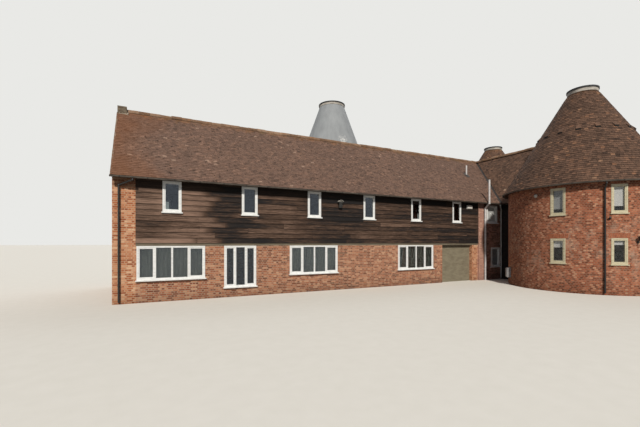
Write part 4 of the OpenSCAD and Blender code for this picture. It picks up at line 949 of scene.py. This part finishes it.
boards = {"gauge": 0.213, "lap": 0.030, "foot": 0.029, "head": 0.007, "back": 0.009,
          "low": 2.25, "drip": 0.012, "top": 4.645, "shortest": 1.8, "longest": 4.8, "rest": 0.4,
          "joint": 0.003, "least": 0.03, "slimmest": 0.02, "sag": 0.0015, "arris": (0.003, 0.004),
          "intoWall": 0.004, "underSill": 0.01, "tone": 0.45, "spread": 0.26}
boards["height"] = boards["gauge"] + boards["lap"]
upperWindow = {"half": 0.34, "sill": 3.44, "sillHeight": 0.045, "joint": 0.003}


def boardWall(name, start, end, faceY, outward, windows, seed):
    chance = np.random.default_rng(seed)
    points, faces, tones, runs = [], [], [], []

    def board(x0, x1, low, high, tone):
        if x1 - x0 < boards["least"] or high - low < boards["slimmest"]:
            return
        first = len(points)
        share = (high - low) / boards["height"]
        foot, (inward, upward) = boards["foot"], boards["arris"]
        head = foot + (boards["head"] - foot) * share
        back = boards["back"] * (1 - share)
        sag = chance.normal(0, boards["sag"], 2)
        for i, x in enumerate((x0, x1)):
            for depth, z in ((back, low + sag[i]), (foot - inward, low + sag[i]),
                             (foot, low + upward + sag[i]), (head, high),
                             (-boards["intoWall"], high)):
                points.append(at(x, faceY + outward * depth, z))
                runs.append((z - low) / boards["height"])
        ring = [(0, 1, 2, 3, 4), (9, 8, 7, 6, 5)]
        sides = [(i, i + 5, (i + 1) % 5 + 5, (i + 1) % 5) for i in range(5)]
        for face in ring + sides:
            face = face[::-1] if outward > 0 else face
            faces.append([first + i for i in face])
            tones.append(tone)

    def run(x0, x1, low, high):
        x = x0
        while x1 - x > boards["least"]:
            to = min(x1, x + chance.uniform(boards["shortest"], boards["longest"]))
            if x1 - to < boards["rest"]:
                to = x1
            board(x, to - (boards["joint"] if to < x1 else 0), low, high,
                  float(np.clip(chance.normal(boards["tone"], boards["spread"]), 0, 1)))
            x = to

    row = 0
    while boards["low"] + row * boards["gauge"] < boards["top"] - boards["slimmest"]:
        low = boards["low"] - boards["drip"] + row * boards["gauge"]
        high = min(low + boards["gauge"] + boards["lap"], boards["top"])
        if high < upperWindow["sill"] or not windows:
            run(start, end, low, high)
        else:
            x = start
            for middle in windows:
                edge = middle - upperWindow["half"] - upperWindow["joint"]
                run(x, edge, low, high)
                x = edge + 2 * upperWindow["half"] + 2 * upperWindow["joint"]
                if low < upperWindow["sill"] - upperWindow["sillHeight"]:
                    run(edge, x, low, upperWindow["sill"] - boards["underSill"])
            run(x, end, low, high)
        row += 1
    finishPiece(meshPiece(name, points, faces, tones, runs), tarBoard)


bays = [2.01 + 3.05 * i for i in range(7)]  # middles of the framing bays, 10 ft apart
boarding = {"frontWest": 0.755, "frontEast": 19.05, "rearWest": 0.0,
            "rearEast": barn["length"] - 0.4, "kilnHalf": 2.6, "windowless": 3.66}
rearMiddle = kilns["rear"]["x"]
rearUpper = [x for x in bays if abs(x - rearMiddle) > boarding["windowless"]]
boardWall("front_weatherboards", boarding["frontWest"], boarding["frontEast"], 0.0, -1,
          bays[:6], 11)
boardWall("rear_weatherboards_west", boarding["rearWest"], rearMiddle - boarding["kilnHalf"],
          barn["depth"], 1, [x for x in rearUpper if x < rearMiddle], 12)
boardWall("rear_weatherboards_east", rearMiddle + boarding["kilnHalf"], boarding["rearEast"],
          barn["depth"], 1, [x for x in rearUpper if x > rearMiddle], 13)
dress(tarBoard, "front_boarded_wall", "rear_boarded_wall", "link_west_wall")
print("weatherboards fixed")

# Ridge tiles: half-round clay, each bedded on lime mortar and heavy with lichen
ridgeClay = tileMaterial("half-round ridge tiles", ridgeTones,
                         {"course": 1.0, "specks": 0.4, "coins": 0.8, "mat": 0.9, "low": 7.2,
                          "high": 8.75, "warm": False})
# struck lime mortar is matt and gritty, and old sheet lead is dark, dull and faintly clouded
limeMortar = paintMaterial("lime mortar", "#a5998a", "#6f6559", 0.9, 14.0, (1, 1, 1), 0.005)
sheetLead = paintMaterial("weathered sheet lead", "#3f3a38", "#2b2725", 0.55, 5.0, (1, 1, 1), 0.003)
dress(limeMortar, "barn_ridge_tiles", "link_ridge_tiles")
ridge = {"radius": 0.141, "wall": 0.014, "length": 0.448, "step": 0.457, "drop": 0.06,
         "skirt": 0.032, "first": 0.35, "count": 52, "uneven": 0.008, "tip": 0.012, "roll": 0.015}


def startTube(sides, radius, length, ends="NOTHING"):  # along X
    bpy.ops.object.select_all(action="DESELECT")
    bpy.ops.mesh.primitive_cylinder_add(vertices=sides, radius=radius, depth=length,
                                        end_fill_type=ends, rotation=(0, math.pi / 2, 0))
    return settle(bpy.context.object)


def ridgeTile():
    shell = startTube(24, ridge["radius"], ridge["length"])
    editAll(shell, bpy.ops.mesh.bisect, plane_co=(0, 0, -ridge["skirt"]), plane_no=(0, 0, 1),
            clear_inner=True)
    return applyModifier(shell, "SOLIDIFY", thickness=ridge["wall"], offset=-1.0)


def ridgeRun(name, start, along, count, seed):
    chance = np.random.default_rng(seed)
    frames = []
    for i in range(count):
        middle = start + along * (ridge["step"] * (i + 0.5))
        middle.z += chance.normal(0, ridge["uneven"])
        tip = Vector((0, 0, chance.normal(0, ridge["tip"])))
        over = (chance.normal(0, ridge["roll"]), chance.normal(0, ridge["roll"]), 1)
        frames.append(frameOf(middle, along + tip, over))
    return repeatPiece(ridgeTile(), name, frames, ridgeClay, seed)


ridgeLine = ridgeHeight - ridge["drop"]
ridgeRun("barn_ridge_rounds", at(ridge["first"], barn["depth"] / 2, ridgeLine),
         Vector((1, 0, 0)), ridge["count"], 21)
linkStart = at(link["ridge"], barn["depth"] / 2 - 0.1, ridgeLine)
linkCount = int((linkStart.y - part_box("link_ridge_tiles")[0].y) / ridge["step"])
ridgeRun("link_ridge_rounds", linkStart, Vector((0, -1, 0)), linkCount, 22)

# Lead in the valleys: two leaves to each, dressed down both slopes
leaves = []
for line in valleys:
    run = line["top"] - line["foot"]
    for over, side in (((0, -rise, reach), 1),
                       ((line["side"] * math.sin(steep), 0, math.cos(steep)), -1)):
        over = Vector(over)
        away = over.cross(run.normalized())
        away = away if away.dot(line["toBarn"]) * side > 0 else -away
        middle = (line["foot"] + line["top"]) / 2 + away * (valley["lead"] / 2)
        leaves.append(frameOf(middle + over * valley["over"], run, over))
leafLength = (valleys[0]["top"] - valleys[0]["foot"]).length - valley["short"]
roughPieces("valley_lead", (leafLength, valley["lead"], valley["thick"]), 3, valley["dents"],
            leaves, sheetLead, 31)

# Mortar struck under the verge tiles, up both slopes of both gables
mortar = {"wide": 0.05, "thick": 0.026, "short": 0.25, "low": 0.02, "fromRidge": 0.16,
          "over": 0.008, "rough": 0.003}
fillets = []
for x in (-barn["verge"], barn["length"] + barn["verge"]):
    for side in (-1, 1):
        foot = at(x, barn["depth"] / 2 + side * (barnRun - mortar["low"]),
                  barn["eaves"] + mortar["low"])
        top = at(x, barn["depth"] / 2 + side * mortar["fromRidge"],
                 ridgeHeight - mortar["fromRidge"] * barnSlope)
        over = Vector((0, side * rise, reach))
        fillets.append(frameOf((foot + top) / 2 + over * mortar["over"], top - foot, over))
roughPieces("verge_mortar", (slopeLength - mortar["short"], mortar["wide"], mortar["thick"]), 9,
            mortar["rough"], fillets, limeMortar, 32)

# Cement flaunching round the foot of the gable stub, narrower at its top
flaunching = {"x": 0.215, "long": 0.46, "wide": 0.66, "tall": 0.10, "topLong": 0.8,
              "topWide": 0.78, "overRidge": 0.012, "rough": 0.006}


def flaunch(point):
    if point.z > 0:
        point.x *= flaunching["topLong"]
        point.y *= flaunching["topWide"]
    point.z -= abs(point.y) * barnSlope


place = at(flaunching["x"], barn["depth"] / 2, ridgeHeight + flaunching["overRidge"])
roughPieces("stub_flaunching", (flaunching["long"], flaunching["wide"], flaunching["tall"]), 5,
            flaunching["rough"], [frameOf(place, (1, 0, 0), (0, 0, 1))], limeMortar,
            33, flaunch)

# Lead round the foot of the roof vent, dressed up into a collar round the pipe
roofVent = {"x": 20.11, "y": 1.77, "wide": 0.34, "long": 1.2, "thick": 0.006, "collar": 0.05,
            "collarReach": 0.12, "over": 0.037, "dents": 0.0015}
ventFoot = barn["eaves"] + (roofVent["y"] + barn["eavesOut"]) * barnSlope


def dressUp(point):
    point.z += roofVent["collar"] * max(0.0, 1 - point.xy.length / roofVent["collarReach"])


slopeOut = Vector((0, -rise, reach))
place = at(roofVent["x"], roofVent["y"], ventFoot) + slopeOut * roofVent["over"]
roughPieces("vent_flashing",
            (roofVent["wide"], roofVent["wide"] * roofVent["long"], roofVent["thick"]), 4,
            roofVent["dents"], [frameOf(place, (1, 0, 0), slopeOut)], sheetLead, 34,
            dressUp)
print("ridges, valleys and verges finished")

# Vents in the front cone: a ring of raised tiles, each with a dark mouth under its tail
vent = {"width": 0.20, "length": 0.24, "mouth": 0.074, "head": 0.014, "rim": 0.010,
        "deep": 0.17, "back": 0.026, "over": 0.016, "height": 7.75, "first": 160.0, "count": 17}


def ventTile():
    hood = startBlock(vent["width"], vent["length"], vent["mouth"], 0, (0, 0, vent["mouth"] / 2))
    for vertex in hood.data.vertices:
        if vertex.co.y > 0 and vertex.co.z > 0.01:
            vertex.co.z = vent["head"]
    editFaces(hood, lambda face: face.normal.y < -0.9)
    bpy.ops.mesh.inset(thickness=vent["rim"])
    bpy.ops.mesh.extrude_region_move(TRANSFORM_OT_translate={"value": (0, vent["deep"], 0)})
    bpy.ops.object.mode_set(mode="OBJECT")
    back = vent["deep"] - vent["length"] / 2
    for vertex in hood.data.vertices:  # the hollow gets lower towards its back
        if abs(vertex.co.y - back) < 0.001 and vertex.co.z > 0.03:
            vertex.co.z = vent["back"]
    return hood


coneTilt = math.radians(kilns["front"]["pitch"])
ventAway = coneRadius - (vent["height"] - kilns["front"]["eaves"]) / math.tan(coneTilt)
mouths = []
for i in range(vent["count"]):
    outward, sideways = directions(math.radians(vent["first"] + i * 360 / vent["count"]))
    over = outward * math.sin(coneTilt) + Vector((0, 0, math.cos(coneTilt)))
    place = at(kilns["front"]["x"], kilns["front"]["y"], vent["height"]) + outward * ventAway
    mouths.append(frameOf(place + over * vent["over"], sideways, over))
repeatPiece(ventTile(), "cone_vent_tiles", mouths, coneClay, 5)

# Fine black insect mesh, slanted from each vent's lip down to the tiles below it. Its holes are too
# fine to show, so it is a thin closed plate, near black: the mesh's paint and painted shade of the
# hollow behind it, and only its speckle is drawn.
ventMeshShade = paintMaterial("steel mesh and painted shade", "#161312", "#0c0a0a", 0.8, 300.0, (1, 1, 1))
mesh = {"width": 0.19, "length": 0.088, "thick": 0.005, "reach": 0.028, "lip": 0.034,
        "slant": 47.0}
grille = startBlock(mesh["width"], mesh["length"], mesh["thick"])
grille.rotation_euler = (math.radians(mesh["slant"]), 0, 0)
grille.location = (0, -vent["length"] / 2 - mesh["reach"], mesh["lip"])
settle(grille)
repeatPiece(grille, "cone_vent_meshes", mouths, ventMeshShade, 6)

# Brick flat arches over the kilns' ground-floor windows: bricks on end, fanned a little
arch = {"brick": 0.062, "joint": 0.011, "tall": 0.215, "thick": 0.016, "bevel": 0.004,
        "proud": 0.004, "count": 11, "head": 2.45, "bed": 0.004, "fan": 1.1}
windowTurns = {"front": [-168.8 + 37.4 * i for i in range(5)], "rear": [45, 90, 135],
               "east": [-60, 0, 60]}
# rubbed bricks are finer and more even in colour than the wall's
archClay = paintMaterial("rubbed red brick", "#a8674a", "#7d4732", 0.85, 9.0, (1, 1, 1), 0.003)
for name, turns in windowTurns.items():
    frames = []
    for windowTurn in turns:
        for k in range(arch["count"]):
            step = k - (arch["count"] - 1) / 2
            turn = math.radians(windowTurn) + step * (arch["brick"] + arch["joint"]) / wallRadius
            outward, sideways = directions(turn)
            lean = math.radians(arch["fan"] * step)
            upright = Vector((0, 0, math.cos(lean))) + sideways * math.sin(lean)
            place = at(kilns[name]["x"], kilns[name]["y"],
                       arch["head"] + arch["tall"] / 2 + arch["bed"])
            place += outward * (wallRadius - arch["thick"] / 2 + arch["proud"])
            frames.append(frameOf(place, upright, outward))
    voussoir = startBlock(arch["tall"], arch["brick"], arch["thick"], arch["bevel"])
    repeatPiece(voussoir, name + "_kiln_arches", frames, archClay, len(frames))

# Gutter brackets: straps under the half-round gutters
bracket = {"radius": 0.0565, "wall": 0.004, "wide": 0.028, "lip": 0.004, "first": 0.25,
           "spacing": 0.915, "turn": 14}
gutter = {"out": 0.056, "z": 4.65, "under": 0.040, "rearGap": 3.9,
          "rings": {"front": (103, 382), "rear": (-70, 250), "east": (-143, 143)}}


def strap():
    ring = startTube(20, bracket["radius"], bracket["wide"])
    editAll(ring, bpy.ops.mesh.bisect, plane_co=(0, 0, bracket["lip"]), plane_no=(0, 0, 1),
            clear_outer=True)
    return applyModifier(ring, "SOLIDIFY", thickness=bracket["wall"], offset=1.0)


straps = []
for y, count in ((-(barn["eavesOut"] + gutter["out"]), 22),
                 (barn["depth"] + (barn["eavesOut"] + gutter["out"]), 26)):
    for i in range(count):
        x = bracket["first"] + i * bracket["spacing"]
        if y < 0 or abs(x - kilns["rear"]["x"]) > gutter["rearGap"]:
            straps.append(frameOf(at(x, y, gutter["z"]), (1, 0, 0), (0, 0, 1)))
for name, (start, end) in gutter["rings"].items():
    kiln = kilns[name]
    for turn in range(start, end, bracket["turn"]):
        east, north = math.cos(math.radians(turn)), math.sin(math.radians(turn))
        away = coneRadius + gutter["out"]
        place = at(kiln["x"] + away * east, kiln["y"] + away * north,
                   kiln["eaves"] - gutter["under"])
        straps.append(frameOf(place, (-north, east, 0), (0, 0, 1)))
repeatPiece(strap(), "gutter_straps", straps, coats["black PVC"], 9)
print("vents, arches and straps fixed")

# Roller blinds of holland cloth behind the windows of the front kiln and the recess, each pulled
# to its own height. The cloth is close-woven and matt, and its threads are too fine to show, so
# that only slubs down the cloth are drawn.
blindCloth = paintMaterial("white holland blind", "#d9dad9", "#c5c8ca", 0.85, 30.0, (1, 1, 0.2),
                           0.0005)
# The same holland drawn darker, for the blinds listed under grey in the blind table: painted shade,
# where they hang in shade at the kiln's west and low in the recess
shadedBlindCloth = paintMaterial("holland blind in painted shade", "#a0a3a6", "#8f9296", 0.85, 30.0, (1, 1, 0.2),
                          0.0005)
blind = {"width": 0.50, "back": 0.108, "recessBack": 0.082, "roller": 0.016, "clear": 0.03,
         "ripple": 0.0015, "boss": 0.010, "pin": 0.012, "grey": ("upper_west", "recess_low")}
panes = {"low": {"head": 2.45 - 0.075, "height": 0.98},
         "high": {"head": 4.76 - 0.075, "height": 1.10}}
kilnBlinds = [("upper_west", -168.8, "high", 0.80), ("upper_east", -131.4, "high", 0.78),
              ("lower_west", -168.8, "low", 0.34), ("lower_east", -131.4, "low", 0.22)]
recessBlinds = [("recess_high", 20.27, 4.49, 0.84, 0.96), ("recess_low", 20.59, 1.90, 0.65, 1.05)]


# Folds: columns of the grid to each and in all, its rows, how much folds differ from cloth to
# cloth, the size and number of the smaller ones between them and the depth at the top and lower
folding = {"columns": 12, "fewest": 8, "rows": 10, "uneven": (0.85, 1.15), "smaller": 0.3,
           "between": 4.3, "top": 0.7, "lower": 0.3}


def hangCloth(name, frame, width, length, folds, depth, material):
    # a grid that hangs from local Y = 0, its folds running down it
    columns = max(folding["fewest"], folds * folding["columns"])
    bpy.ops.object.select_all(action="DESELECT")
    bpy.ops.mesh.primitive_grid_add(x_subdivisions=columns, y_subdivisions=folding["rows"],
                                    size=1)
    cloth = bpy.context.object
    chance = np.random.default_rng(len(name))
    spread = chance.uniform(*folding["uneven"], 3)
    for vertex in cloth.data.vertices:
        share, down = vertex.co.x + 0.5, 0.5 - vertex.co.y
        fold = math.sin(share * folds * 2 * math.pi + spread[0] * down)
        fold += folding["smaller"] * math.sin(
            share * folds * folding["between"] * spread[1] * math.pi + 1.0)
        vertex.co = (vertex.co.x * width, -down * length,
                     depth * fold * (folding["top"] + folding["lower"] * down))
    cloth.matrix_world = frame
    settle(cloth)
    cloth.name = name
    return finishPiece(cloth, material)


hangings = []
for name, turn, storey, share in kilnBlinds:
    outward, sideways = directions(math.radians(turn))
    head = at(kilns["front"]["x"], kilns["front"]["y"], panes[storey]["head"])
    head += outward * (wallRadius - blind["back"])
    hangings.append((name, head, outward, sideways, blind["width"],
                     panes[storey]["height"] * share))
for name, x, top, width, drop in recessBlinds:
    hangings.append((name, at(x, blind["recessBack"], top), Vector((0, -1, 0)),
                     Vector((1, 0, 0)), width, drop))
for name, head, outward, sideways, width, drop in hangings:
    roller = startTube(16, blind["roller"], width, "NGON")
    editFaces(roller, lambda face: abs(face.normal.x) > 0.9)
    bpy.ops.mesh.inset(thickness=blind["boss"], use_individual=True)
    bpy.ops.mesh.extrude_region_shrink_fatten(TRANSFORM_OT_shrink_fatten={"value": blind["pin"]})
    bpy.ops.object.mode_set(mode="OBJECT")
    roller.matrix_world = frameOf(head - outward * blind["roller"], sideways, outward)
    settle(roller)
    roller.name = "blind_roller_" + name
    finishPiece(roller, coats["white PVC"])
    # the darker holland is painted shade
    material = shadedBlindCloth if name in blind["grey"] else blindCloth
    cloth = hangCloth("blind_" + name, frameOf(head, sideways, outward), width - blind["clear"],
                      drop, 1, blind["ripple"], material)

# Net curtains behind the barn's wide windows, gathered on a wire inside the frame. The net is
# greyish behind the glass, and its holes are too fine to show, so it is drawn as a closed cloth.
netCloth = paintMaterial("grey-white net", "#b9bbb8", "#8f9290", 0.9, 40.0, (1, 1, 0.15), 0.0008)
net = {"width": 2.36, "drop": 1.20, "folds": 17, "depth": 0.016, "back": 0.105, "head": 2.075}
for i in range(3):
    wire = frameOf(at(bays[2 * i], net["back"], net["head"]), (1, 0, 0), (0, -1, 0))
    cloth = hangCloth("net_curtain_%d" % (i + 1), wire, net["width"], net["drop"], net["folds"],
                      net["depth"], netCloth)
print("blinds and nets hung")

print("pieces done")
